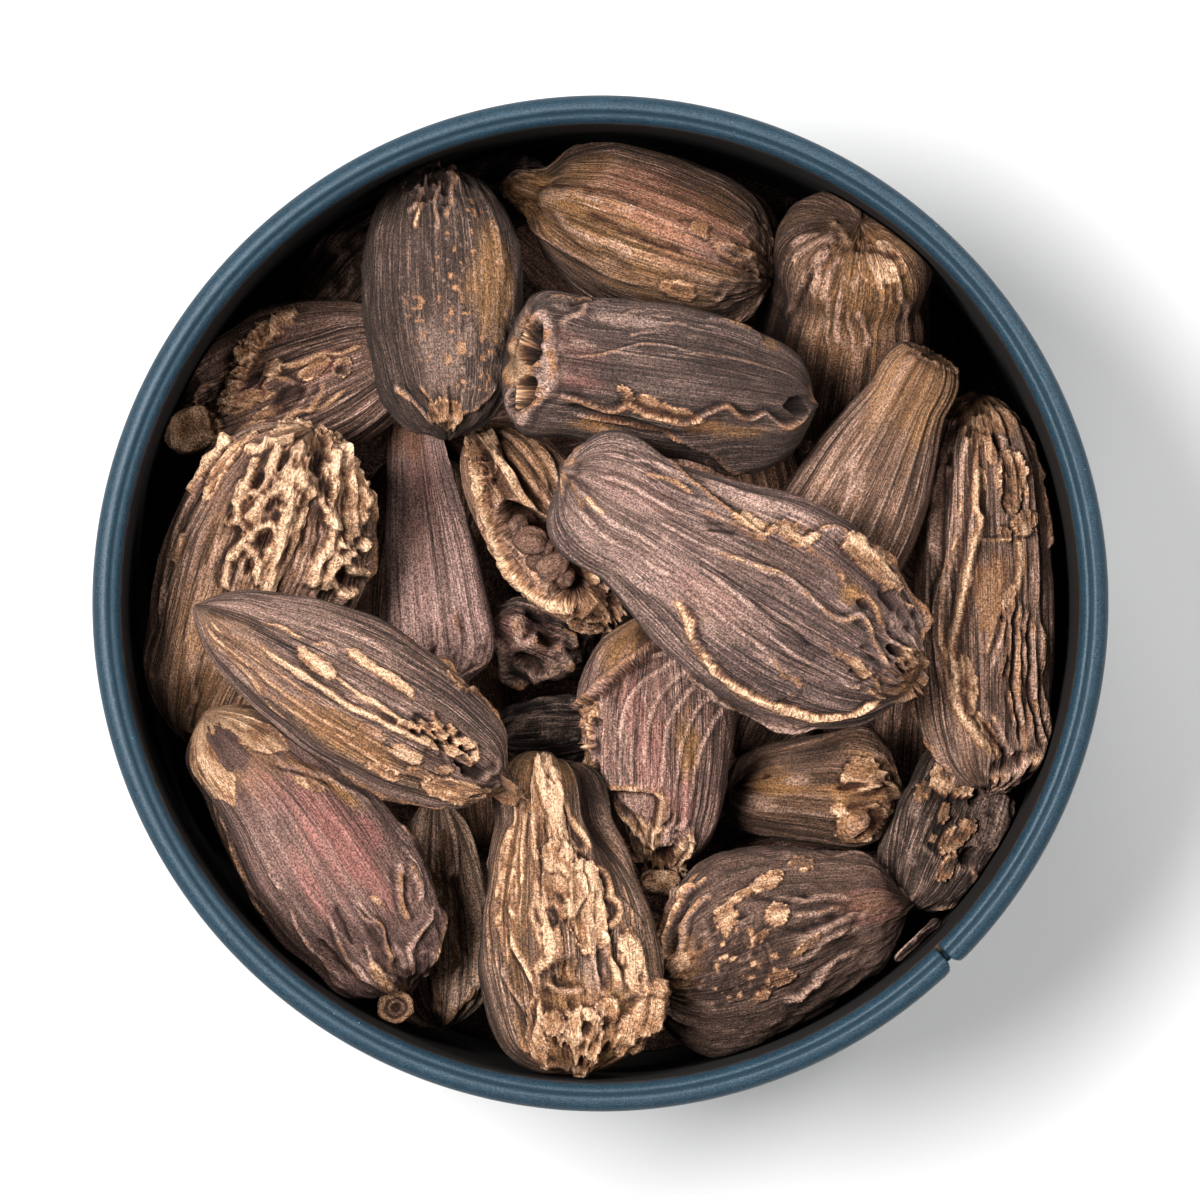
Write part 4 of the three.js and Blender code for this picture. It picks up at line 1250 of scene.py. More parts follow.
def left_striped(h):
    """Cream streaks along a dark pod, and a crumbled patch near its far end."""
    h.blunt(far=0.22)
    h.swell((0.75, -0.98), (5, 2.5), 0.5)
    h.lumps(8, 0.35)
    h.ribs(2.4, 26, 0.3, 0.12, 0.4, 1)
    h.ribs(0.8, 22, 0.14, 0.5, 0.25)
    h.stain("pale", (0.2, -0.45), (7, 1.8), 0.7, 1.4)
    h.stain("ochre", (0.2, -0.4), (6, 1.8), 0.6)
    h.stain("ochre", (0.55, -0.62), (9, 1.8), 0.8)
    h.stain("tan", (0.5, -0.58), (7, 1.2), 0.3, 1.4)
    h.stain("pale", (0.3, 0.7), (7, 1.6), 0.4, 1.4)
    for k, x in enumerate((-0.62, -0.5, -0.38, -0.26)):
        h.fold([(0.05, 0.8 * x), (0.12, x), (0.22, x), (0.32, 0.95 * x)], 0.24, 0.25, 0.35, k)
    d, t = h.near(via(6, 15, 15, 30, 20, 20, 26, 15, 32, 8, 40, 0, 48, -3))
    band = ramp(1 - np.abs(d) / (0.75 - 0.45 * t), 0, 0.5)
    h.add("dark", 0.5 * band)
    h.marks["pale"] *= 1 - 0.9 * band
    h.stain("dark", (0.7, 0.7), (5, 2), 0.35)
    h.stain("dark", (0.62, -0.05), (1.6, 0.5), 0.5)
    h.fold(via(22, -2, 29, -12, 32.5, -12, 37, -12, 41, -13, 46, -14, 50, -19, 57, -14, 62, -13, 68, -12,
               72, -10, 76, -8), 0.36, 0.5, 1, wander=0.15, rag=0.7, lean=0.3)
    h.plate((0.375, 0.11), (1.7, 0.7), 0.3, 0.98, 0.15, 0.9, turn=-8)
    h.fold(via(40, 7, 44, 7, 50, 3), 0.3, 0.3, 0.9, wander=0.2, rag=0.7)
    h.fold(via(50, 10, 56, 7, 60, 5, 64, 3, 67, 0), 0.32, 0.35, 0.75, 1, 0.2, 0.8)
    h.fold(via(21.5, 36, 24, 36, 26.2, 33), 0.22, 0.25, 0.9)
    h.fold(via(33, 38, 37, 40, 41, 38), 0.3, 0.2, 0.6)
    h.plate((0.46, 0.45), (1.1, 0.42), 0.2, 0.95, 0.1, 0.85, 1)
    h.plate((0.585, 0.43), (2, 0.5), 0.25, 0.95, 0.15, 0.85, 2, -3)
    h.pit((0.705, 0.18), (1.2, 0.6), 0.5, dark=0.5)
    h.plate((0.6, -0.34), (1.6, 0.8), 0.1, 0.6, 0.15, seed=3, tan=0.6)
    h.plate((0.715, -0.36), (1.5, 0.6), 0.25, 0.98, 0.15, 0.85, 4, -8)
    h.plate((0.67, -0.72), (1.8, 0.6), 0.2, 0.75, 0.2, seed=5, tan=0.85)
    h.plate((0.76, -0.56), (1.8, 0.7), 0.15, 0.6, 0.2, seed=9, tan=0.7)
    h.plate((0.86, -0.62), (2.8, 1), 0.35, 0.9, 0.35, seed=8, turn=4)
    h.stain("dark", (0.79, -0.25), (2.6, 0.9), 0.7)
    h.plate((0.82, -0.31), (0.7, 0.4), 0.35, 1, 0.1, 1, 10, 30)
    h.plate((0.68, 0), (1.2, 0.6), 0.35, 0.9, 0.4, 0.8, 11, 20, grain=1.2)
    flakes = (((0.745, 0.22), (1.1, 0.42), -38), ((0.785, 0.28), (0.7, 0.35), -40),
              ((0.84, 0.24), (1, 0.45), 20), ((0.745, -0.06), (0.9, 0.35), -8),
              ((0.81, 0.03), (0.9, 0.5), -6), ((0.855, -0.02), (0.8, 0.45), -25),
              ((0.875, 0.12), (0.35, 0.8), 0), ((0.77, 0.1), (0.8, 0.35), 25),
              ((0.72, 0.12), (0.8, 0.35), -20))
    for k, (place, size, turn) in enumerate(flakes):
        h.plate(place, size, 0.55, 1, 0.2, 0.95, 12 + k, turn, grain=1.4)
    h.crumple((0.79, 0.08), (3, 2), 0.7, 1.6)
    for place, size in (((0.7, -0.02), (0.35, 0.25)), ((0.795, 0.14), (0.45, 0.25)),
                        ((0.765, 0.02), (0.4, 0.2)), ((0.83, 0.13), (0.3, 0.3)),
                        ((0.895, -0.17), (0.9, 0.6)), ((0.86, -0.12), (0.6, 0.25))):
        h.pit(place, size, 0.8)
    h.fold(via(93, 60, 95, 30, 95, 0, 93, -30), 0.5, 0.3, 0, 1)
    h.fold(via(52, 86, 58, 90, 64, 90, 70, 88), 0.25, 0.2, 0.3)
    h.frill(via(54, 96, 62, 100, 69, 99, 74, 97), 1.2, -0.9, 0.9, 2)
    h.frill(via(76, 95, 82, 97, 88, 97, 92, 90, 95, 70), 0.9, -0.9, 0.8, 3)
    h.frill(via(96.5, -75, 99.5, -45, 99.5, -10, 96.5, 15), 2.8, 0.1, 0.8, 7, 0.3)
    h.plate((0.73, 0.93), (1.2, 0.8), 0.35, 0.95, 0.3, seed=22, tan=0.8)
    h.frill(via(36, -97, 46, -100, 56, -100, 66, -98, 76, -98, 84, -95, 90, -85), 1, 0.8, 0.85, 1)
    h.stain("ochre", (1, -0.2), (1.8, 2.6), 1)
    h.stain("tan", (1, -0.2), (1.4, 2), 0.7, 0.9)
    h.crumple((0.99, 0), (2, 2.5), 0.4, 1.3, 4)
    h.strip(via(20, -3, 25, -10, 33, -12, 41, -14, 50, -15, 57, -14, 63, -12, 70, -10, 77, -8), 0.26,
            height=0.15)
    h.strip(via(30, 20, 34, 16, 38, 10, 44, 6), 0.5, rag=0.5, seed=1)
    h.strip(via(44, 6, 50, 3, 57, 3, 63, 2, 68, 0), 0.2, seed=2)
    h.strip(via(42, 48, 46, 46, 50, 45, 56, 43, 62, 40, 66, 36), 0.42, rag=0.6, seed=3)
    h.strip(via(19, 36, 24, 38, 30, 36), 0.15, 0.8, seed=4)
    h.strip(via(68, -37, 72, -36, 76, -36), 0.5, rag=0.5, seed=5)
    for k, (start, stop, x) in enumerate(((0.04, 0.45, -0.3), (0.02, 0.6, -0.5), (0.06, 0.5, -0.66),
                                          (0.3, 0.74, -0.42), (0.4, 0.78, -0.62), (0.15, 0.7, -0.82))):
        h.strip(along(start, stop, 0.6 * x, 0.95 * x, x, 0.97 * x), 0.13, 0.75, 1.3, 0.06, 6 + k)


def bottom(h):
    """A brown pod with cream peel that breaks up into layers."""
    h.blunt(near=0.26, far=0.06)
    h.flatten(0.6)
    h.swell((0.17, 0.85), (6, 2.4), -3)
    h.swell((0.82, 0.97), (3.5, 3), 1.2)
    h.swell((0.82, -0.9), (4, 3), -0.4)
    h.lumps(8, 0.4)
    h.ribs(2.6, 24, 0.4, 0.2, seed=1)
    h.ribs(0.9, 20, 0.2, 0.5, 0.3)
    h.stain("ochre", (0.06, -0.1), (3, 3), 0.7)
    h.stain("ochre", (0.5, -0.55), (12, 1.5), 0.4)
    # Painted shade on the sunken side beside the neck.
    h.stain("dark", (0.2, 0.8), (6, 2.4), 0.95)
    h.stain("dark", (0.44, -0.38), (6, 0.55), 0.35)
    h.stain("dark", (0.6, -0.5), (3, 1.2), 0.35)
    h.plate((0.09, -0.32), (2.6, 0.9), 0.15, 0.95, 0.1, tan=0.7)
    h.plate((0.25, -0.05), (4.6, 1.5), 0.35, 0.95, 0.3, seed=1, turn=5, stretch=3)
    h.plate((0.4, 0.02), (3.6, 2), 0.4, 0.95, 0.15, 0.8, 2, stretch=1.5)
    h.plate((0.5, 0.3), (4.6, 2.1), 0.35, 0.9, 0.35, 0.85, 3, stretch=2.5)
    h.plate((0.59, -0.14), (3, 0.75), 0.4, 0.95, 0.1, 0.9, 4, 3)
    h.stain("ochre", (0.85, 0.1), (6, 6), 0.85)
    h.stain("tan", (0.88, 0.1), (4.5, 5), 0.35, 1.6)
    h.fold(via(3, -25, 8, -15, 12, -12, 17, -2), 0.3, 0.4, 0.8)
    h.layer(via(5, -5, 11, 5, 16, 12, 20, 20, 24, 27, 28, 35, 31, 41, 33, 40), 1.2, 0.4, 1, 0.12, -1,
            0.36, 0.4, 1)
    h.layer(via(14, -33, 23, -32, 29, -31, 33, -28, 38, -26, 45, -28, 50, -32, 54, -27, 60, -25, 64, -27,
                67.5, -36, 70, -37, 72, -30), 1.2, 0.45, 1, 0.12, rim=0.32, under=0.4, below=0.8, seed=1)
    h.fold(via(20, -20, 26, -18, 32, -12), 0.25, 0.3, 1, 1)
    h.groove(via(22, -22, 26, -20), 0.16, 0.4)
    h.groove(via(25, -5, 29, -2, 33, 2), 0.16, 0.4, seed=1)
    h.groove(via(26, 8, 30, 12), 0.16, 0.35, seed=2)
    h.fold(via(25, 5, 30, 10, 33, 20, 38.5, 32), 0.25, 0.3, 1, 2)
    h.layer(via(32, 18, 32.5, 30, 33, 41), 0.8, 0.4, 1, 0.1, -1, 0.2, 0.8, 0.8, 2)
    h.stain("dark", (0.36, 0.5), (1.2, 0.7), 0.5)
    h.groove(via(39, 18, 38.6, 32), 0.14, 0.3, seed=3)
    h.layer(via(43, -22, 44.5, -5, 47, 2, 49, -4), 0.8, 0.35, 0.9, 0.1, -1, 0.2, 0.6, 0.6, 3)
    h.layer(via(38.5, 42, 40, 58, 45, 54, 47, 51, 48.5, 61, 51, 62, 53.5, 55, 56, 43), 1.2, 0.45, 1,
            0.12, -1, 0.32, 0.4, 1, 4)
    h.fold(via(39, 28, 46, 28, 54, 32, 60, 33), 0.3, 0.3, 1, 3)
    h.groove(via(43, 40, 50, 40, 56, 38), 0.22, 0.5, 0.8, 4)
    h.groove(via(53, 5, 57, 12, 60, 16), 0.18, 0.4, seed=5)
    h.pit((0.515, -0.13), (1.1, 0.6), 0.5, dark=0.35)
    h.fold(via(64, -2, 67, -20, 69, -32), 0.35, 0.4, 1, 4)
    h.pit((0.685, -0.02), (1.5, 1.4), 0.8, dark=0.35)
    h.stain("ochre", (0.685, -0.02), (1.5, 1.4), 0.8)
    for k, x in enumerate((-0.1, 0, 0.1)):
        h.fold([(0.64, x), (0.68, x + 0.01), (0.72, x + 0.03)], 0.14, 0.25, 0.6, k)
    h.fold(via(71, -24, 74, -10, 74.8, 6, 74, 20), 0.42, 0.7, 1, 6, 0.15, taper=0.05)
    h.pit((0.765, -0.24), (1.3, 0.65), 0.5, dark=0.4)
    h.pit((0.785, 0.04), (0.9, 0.5), 0.4, dark=0.35)
    h.stain("pale", (0.68, 0.26), (3.2, 0.55), 0.9, 1.2)
    h.groove(via(60, 37, 66, 38, 72, 40, 76, 42), 0.3, 0.6, 0.8, 6)
    h.fold(via(54, 42, 60, 44, 66, 50, 71, 54, 76.5, 57), 0.55, 0.5, 1, 7, 0.15)
    h.groove(via(55, 50, 60, 52, 66, 58, 72, 65), 0.28, 0.5, 0.8, 7)
    h.plate((0.66, 0.71), (3, 0.8), 0.3, 0.95, 0.2, 0.85, 6)
    h.layer(via(54, 60, 58.5, 66, 62.5, 74, 68, 80, 73, 78, 75, 72), 0.9, 0.35, 1, 0.12, -1, 0.25, 0.4,
            0.8, 7)
    h.fold(via(46, 68, 50, 76, 54, 85, 57, 84), 0.22, 0.25, 0.5, 8)
    h.plate((0.805, 0.44), (1, 1.15), 0.6, 1, 0.1, 1, 7, 25)
    h.plate((0.84, 0.85), (3, 1.9), 0.5, 0.9, 0.5, 0.8, 8, -20, 0.75)
    h.fold(via(79, 62, 76.5, 75, 75.5, 90, 78, 99), 0.4, 0.5, 0.9, 9)
    h.fold(via(86, 95, 88, 80, 92, 70), 0.4, 0.5, 0.7, 10)
    h.layer(via(46, -64, 52, -60, 58, -59, 62, -53, 66, -46, 70, -40, 75, -34, 80, -35, 85, -40,
                91, -46), 1.2, 0.5, 1, 0.15, -1, 0.34, below=1.2, seed=8)
    h.plate((0.86, -0.42), (2.6, 0.8), 0.3, 0.95, 0.3, 0.8, 9, -14, 0.8)
    h.fold(via(64, -70, 71, -63, 76, -55, 80, -47), 0.28, 0.35, 0.8, 11)
    h.layer(via(22, -66, 29, -73, 35, -76, 42, -76, 48, -73, 56, -68), 1.6, 0.35, 0.8, 0.1, under=0.4,
            below=1, seed=12)
    h.stain("ochre", (0.38, -0.62), (4.5, 0.8), 0.8)
    h.stain("tan", (0.36, -0.64), (3.5, 0.5), 0.35, 1.4)
    h.fold(via(10, -60, 18, -52, 23, -50, 30, -48, 38, -48), 0.24, 0.3, 0.7, 14, 0.15)
    h.fold(via(31, -60, 36, -62, 44, -60, 52, -56), 0.24, 0.3, 0.65, 16, 0.15)
    h.plate((0.84, -0.18), (0.9, 0.9), 0.5, 1, 0.3, 1, 10)
    h.plate((0.87, 0.15), (2, 2), 0.5, 0.75, 0.7, 0.9, 11, grain=1.3)
    h.crumple((0.86, 0.15), (2.8, 3), grain=1.8)
    h.pit((0.855, 0.2), (0.5, 0.4), 0.8)
    h.pit((0.85, 0.42), (0.6, 0.4), 0.6)
    h.swell((0.9, -0.15), (1.8, 1.2), -0.7)
    h.stain("dark", (0.91, -0.12), (1.8, 1), 0.35)
    h.fold(via(88, -72, 93, -50, 96.5, -25, 98, 5, 98, 35, 95, 60), 0.5, 0.7, 0.85, 13, 0.25)
    h.pit((0.935, 0.48), (0.7, 0.5), 0.9)
    h.strip(via(2, -15, 8, -12, 15, -2, 22, 3, 30, 5), 0.75, 0.9, 0.3, 0.2, 1, taper=0.05)
    h.strip(via(26, 15, 34, 20, 42, 32, 50, 38, 56, 36), 0.8, rag=0.4, height=0.15, seed=2)
    h.strip(via(42, -22, 50, -26, 57, -20, 62, -18, 67, -30, 70, -35), 0.45, rag=0.4, seed=3)
    h.strip(via(60, 30, 66, 34, 72, 38, 77, 40), 0.35, rag=0.6, seed=4, mark="pale")
    h.strip(via(58, 62, 64, 70, 70, 72, 75, 66), 0.6, 0.9, 0.5, seed=5)
    h.strip(via(50, -62, 58, -58, 64, -50, 70, -40, 77, -34), 0.25, seed=6)
    h.strip(via(18, -45, 26, -50, 34, -52, 42, -52), 0.2, 0.8, 0.8, seed=7)
    for k, (start, stop, x) in enumerate(((0.12, 0.6, -0.72), (0.2, 0.66, -0.84), (0.1, 0.5, -0.58),
                                          (0.3, 0.72, -0.66), (0.26, 0.6, 0.78))):
        h.strip(along(start, stop, 0.92 * x, x, x, 0.97 * x), 0.14, 0.75, 1.3, 0.06, 40 + k)
    h.frill(via(60, 99, 68, 100, 76, 99), 0.8, -0.7, 0.4, 2)
    h.frill(via(30, -100, 42, -100, 55, -99), 0.8, 0.8, 0.4, 1)


def left_crusted(h):
    """A thick cream crust of folded ribbons over a brown pod."""
    h.lumps(8, 0.6)
    h.ribs(2.2, 20, 0.5, 0.35, seed=1)
    h.ribs(0.9, 18, 0.22, 0.5, 0.3)
    h.stain("ochre", (0.65, -0.2), (12, 6), 0.5)
    h.stain("dark", (0.2, -0.3), (6, 3), 0.6)
    h.stain("dark", (0.33, 0.32), (5, 1.1), 0.5)
    h.stain("dark", (0.3, 0.8), (4, 1.2), 0.7)
    h.plate((0.03, -0.12), (1.8, 2.6), 0.7, 1, 0.35, 1)
    h.plate((0.14, 0.72), (3.2, 2.2), 0.8, 0.95, 0.5, 0.95, 1, -15)
    h.plate((0.36, 0.1), (5.5, 1.15), 0.55, 0.98, 0.3, 0.95, 2, stretch=2.5)
    h.plate((0.16, 0), (1.6, 1.8), 0.5, 0.95, 0.4, 1, 3)
    h.plate((0.25, -0.3), (5, 2.6), 0.5, 0.42, 0.3, 0.8, 4, 8, grain=1.6)
    h.plate((0.19, -0.78), (3.8, 1.2), 0.4, 0.7, 0.5, seed=5, turn=15, grain=1.6)
    h.plate((0.46, -0.86), (1.4, 0.7), 0.5, 0.95, 0.4, seed=6)
    ribbons = (via(5, -10, 10, -5, 16, -2, 20, 4, 30, 8, 42, 12, 52, 14),
               via(5, -20, 8, -35, 10, -50, 11, -65), via(9, -28, 14, -26, 20, -28, 24, -36),
               via(17, -5, 21, -16, 25, -22, 30, -30), via(13, -48, 18, -42, 23, -44, 28, -40, 33, -36),
               via(28, -2, 31, -12, 35, -20, 40, -26, 43, -30), via(36, -28, 38, -12, 42, -3, 46, 4),
               via(40, -30, 46, -28, 52, -24),
               via(12, 10, 14, 25, 18, 42, 22, 55, 28, 58, 34, 50, 42, 52), via(14, -2, 16, 12, 17, 25),
               via(10, 30, 6, 42, 4, 60), via(22, 95, 26, 85, 30, 72, 33, 85, 32, 98),
               via(30, 72, 36, 66, 40, 80, 38, 95), via(25, 70, 28, 62, 36, 62, 42, 66),
               via(10, -88, 20, -93, 30, -93))
    for k, places in enumerate(ribbons):
        h.fold(places, 0.62, 0.85, 1, k, 0.25, wave=1.8, taper=0.05)
    for k, x in enumerate((0.24, 0.32, 0.4, 0.48)):
        h.fold([(0.2, x - 0.06), (0.3, x - 0.02), (0.44, x + 0.03), (0.56, x + 0.04)], 0.2, 0.25, 0.5,
               20 + k, 0.15, 0.8)
    for a, x, w in ((0.33, -0.06, 1.1), (0.42, -0.1, 0.8), (0.24, -0.12, 0.7), (0.19, -0.34, 0.9),
                    (0.3, -0.42, 0.8), (0.12, -0.18, 0.7), (0.08, 0.22, 0.9), (0.15, 0.3, 0.8),
                    (0.28, 0.84, 0.8), (0.37, 0.8, 0.8), (0.24, 0.68, 0.7), (0.07, 0.55, 0.6)):
        h.pit((a, x), (w, 0.55 * w), 0.9)
    h.crumple((0.15, 0.1), (6, 8), 0.15)
    h.crumple((0.3, 0.85), (5, 2.5), 0.25, 2, 1)
    for k, places in enumerate(ribbons):
        h.strip(places, 0.62 if k in (0, 8) else 0.45, rag=0.6, height=0.1, seed=k, taper=0.05)
    for k, x in enumerate((0.27, 0.34, 0.41)):
        h.strip([(0.24, x - 0.03), (0.32, x), (0.42, x + 0.03), (0.53, x + 0.05)], 0.12, rag=1.6,
                height=0.06, seed=30 + k, mark="pale")
    h.fold(via(70, -30, 80, -33, 90, -25, 98, -12), 0.5, 0.4, 0.45, 30)
    h.fold(via(30, -50, 45, -50, 60, -50, 75, -45), 0.4, 0.3, 0.3, 31)
    h.fold(via(20, -85, 35, -93, 50, -92, 70, -85), 0.5, 0.35, 0.3, 32)
    h.frill(via(8, 92, 16, 98, 25, 100, 35, 100), 0.8, -0.5, 0.9, 1)


def lower_left(h):
    """A smooth red-and-mauve pod with pale veins and a hollow stalk."""
    h.bend(-1.5, 0, 0.35)
    h.blunt(near=0.08, far=0.2)
    h.swell((0.3, -0.95), (8, 3), -0.9)
    h.swell((0.7, 0.95), (7, 3.5), 1.2)
    h.swell((0.82, 0.95), (3.5, 3), 0.8)
    h.swell((0.9, -0.9), (3, 2.5), 0.7)
    h.lumps(9, 0.4)
    h.ribs(3, 26, 0.35, 0.12, seed=1)
    h.ribs(0.9, 22, 0.12, 0.35, 0.3)
    h.stain("red", (0.55, 0.38), (6.2, 3.2), 1, 2)
    h.stain("red", (0.42, 0.3), (3.5, 2), 0.8)
    h.stain("red", (0.6, -0.28), (5, 1), 0.9)
    h.stain("red", (0.28, -0.05), (2.5, 1.4), 0.5)
    h.stain("ochre", (0.03, 0), (2.2, 5), 1)
    h.stain("tan", (0.03, 0), (1.9, 6), 0.85, 1.2)
    h.plate((0.11, -0.6), (3.6, 1.9), 0.03, 1, 0, 0.95)
    h.plate((0.13, 0.45), (2.5, 1.4), 0.03, 1, 0, 0.95, 1, 8)
    h.strip(via(20, -98, 30, -100, 40, -99, 50, -97, 60, -93), 0.3, 0.8)
    h.stain("ochre", (0.11, -0.1), (4.5, 4), 0.6)
    ragged = 0.35 * fractal(h.flow / 1.1, 3, 21)
    inset = ramp(1 - h.spot((0.125, -0.12), (2.4, 1.35), -6) + ragged, 0, 0.12)
    for mark in ("tan", "ochre", "pale"):
        h.marks[mark] *= 1 - inset
    h.add("dark", 0.25 * inset)
    h.fold(via(20, 30, 30, 52, 40, 72, 50, 86), 0.55, 0.2, 0.3)
    h.groove(via(22, 25, 30, 46, 40, 66), 0.2, 0.25, 0.7)
    h.stain("ochre", (0.34, 0.62), (4.5, 0.6), 0.9, turn=14)
    h.plate((0.335, 0.46), (1.35, 0.45), 0.06, 1, 0, 1, 2, 24)
    h.fold(via(26, -90, 35, -93, 45, -93, 55, -90), 0.4, 0.3, 0.75)
    h.plate((0.715, 0.36), (0.65, 0.28), 0.2, 1, 0, 1, 3, 20)
    h.stain("dark", (0.8, 0.08), (1.8, 0.7), 0.7)
    h.fold(via(75, 18, 79, 26, 82, 20, 86, 12, 88, 12, 90, 0, 93, 0), 0.32, 0.5, 0.5, wander=0.12,
           rag=0.3)
    h.fold(via(70, 8, 73, 12, 76, 18), 0.2, 0.2, 0.3, 2)
    h.fold(via(66, 78, 70, 70, 74, 64, 78, 60, 82, 60), 0.5, 0.45, 0.5, 1, 0.1, 0.3)
    h.fold(via(67, 86, 72, 84, 78, 78), 0.4, 0.35, 0.4, 3)
    h.groove(via(69, 76, 74, 73, 79, 68), 0.22, 0.4)
    facet = ramp(1.15 - h.spot((0.885, 0.72), (2.1, 1.1), -18), 0, 0.3)
    h.height += 0.35 * facet
    h.marks["pale"] *= 1 - facet
    h.fold(via(81, 88, 84, 74, 87, 55, 90, 42, 94, 30), 0.32, 0.5, 0.5, 2, 0.1, 0.3)
    h.fold(via(82, 97, 88, 98, 93, 85, 97, 55), 0.4, 0.45, 0.85, 4, 0.1)
    h.fold(via(68, -28, 72, -30, 77, -40, 82, -48, 87, -52, 91, -46, 95, -40), 0.34, 0.5, 0.45, 5, 0.1,
           0.3)
    h.fold(via(83, -14, 87, -20, 92, -25, 96, -30), 0.3, 0.4, 0.7, 6)
    h.plate((0.885, -0.24), (0.7, 0.4), 0.2, 1, 0.2, 0.9, 4)
    h.stain("dark", (0.87, -0.08), (1.2, 0.7), 0.7)
    h.fold(via(62, -66, 68, -70, 73, -76, 77, -75, 80, -80, 84, -85, 89, -85), 0.4, 0.5, 0.4, 7, 0.1, 0.3)
    h.groove(via(72, -55, 80, -65, 88, -68), 0.35, 0.5)
    h.groove(via(66, -15, 74, -20, 80, -28), 0.25, 0.3)
    h.fold(via(55, 96, 63, 99, 72, 100, 80, 98), 0.45, 0.4, 0.6, 8)
    h.crumple((0.93, 0), (3, 4), 0.35, 2.8)
    h.stain("ochre", (0.97, -0.2), (0.9, 1.2), 1)
    veins = (via(68, 10, 75, 18, 79, 24, 83, 17, 88, 10, 93, 0), via(66, 78, 70, 70, 74, 64, 79, 60),
             via(60, 84, 70, 88, 78, 82), via(80, 90, 84, 74, 87, 55, 90, 42, 95, 25),
             via(66, -24, 72, -30, 77, -40, 82, -48, 88, -50, 95, -38),
             via(60, -62, 68, -70, 74, -76, 80, -80, 88, -84), via(80, -10, 87, -20, 92, -25, 97, -30),
             via(48, -60, 52, -56, 55, -55))
    for k, places in enumerate(veins):
        h.strip(places, 0.16, rag=0.9, height=0.1, seed=20 + k, mark="pale")
    h.stub((0.985, -0.5), 1.65, 0.9, (-0.05, -0.2, 1), off=(-0.2, -1, 0.6))


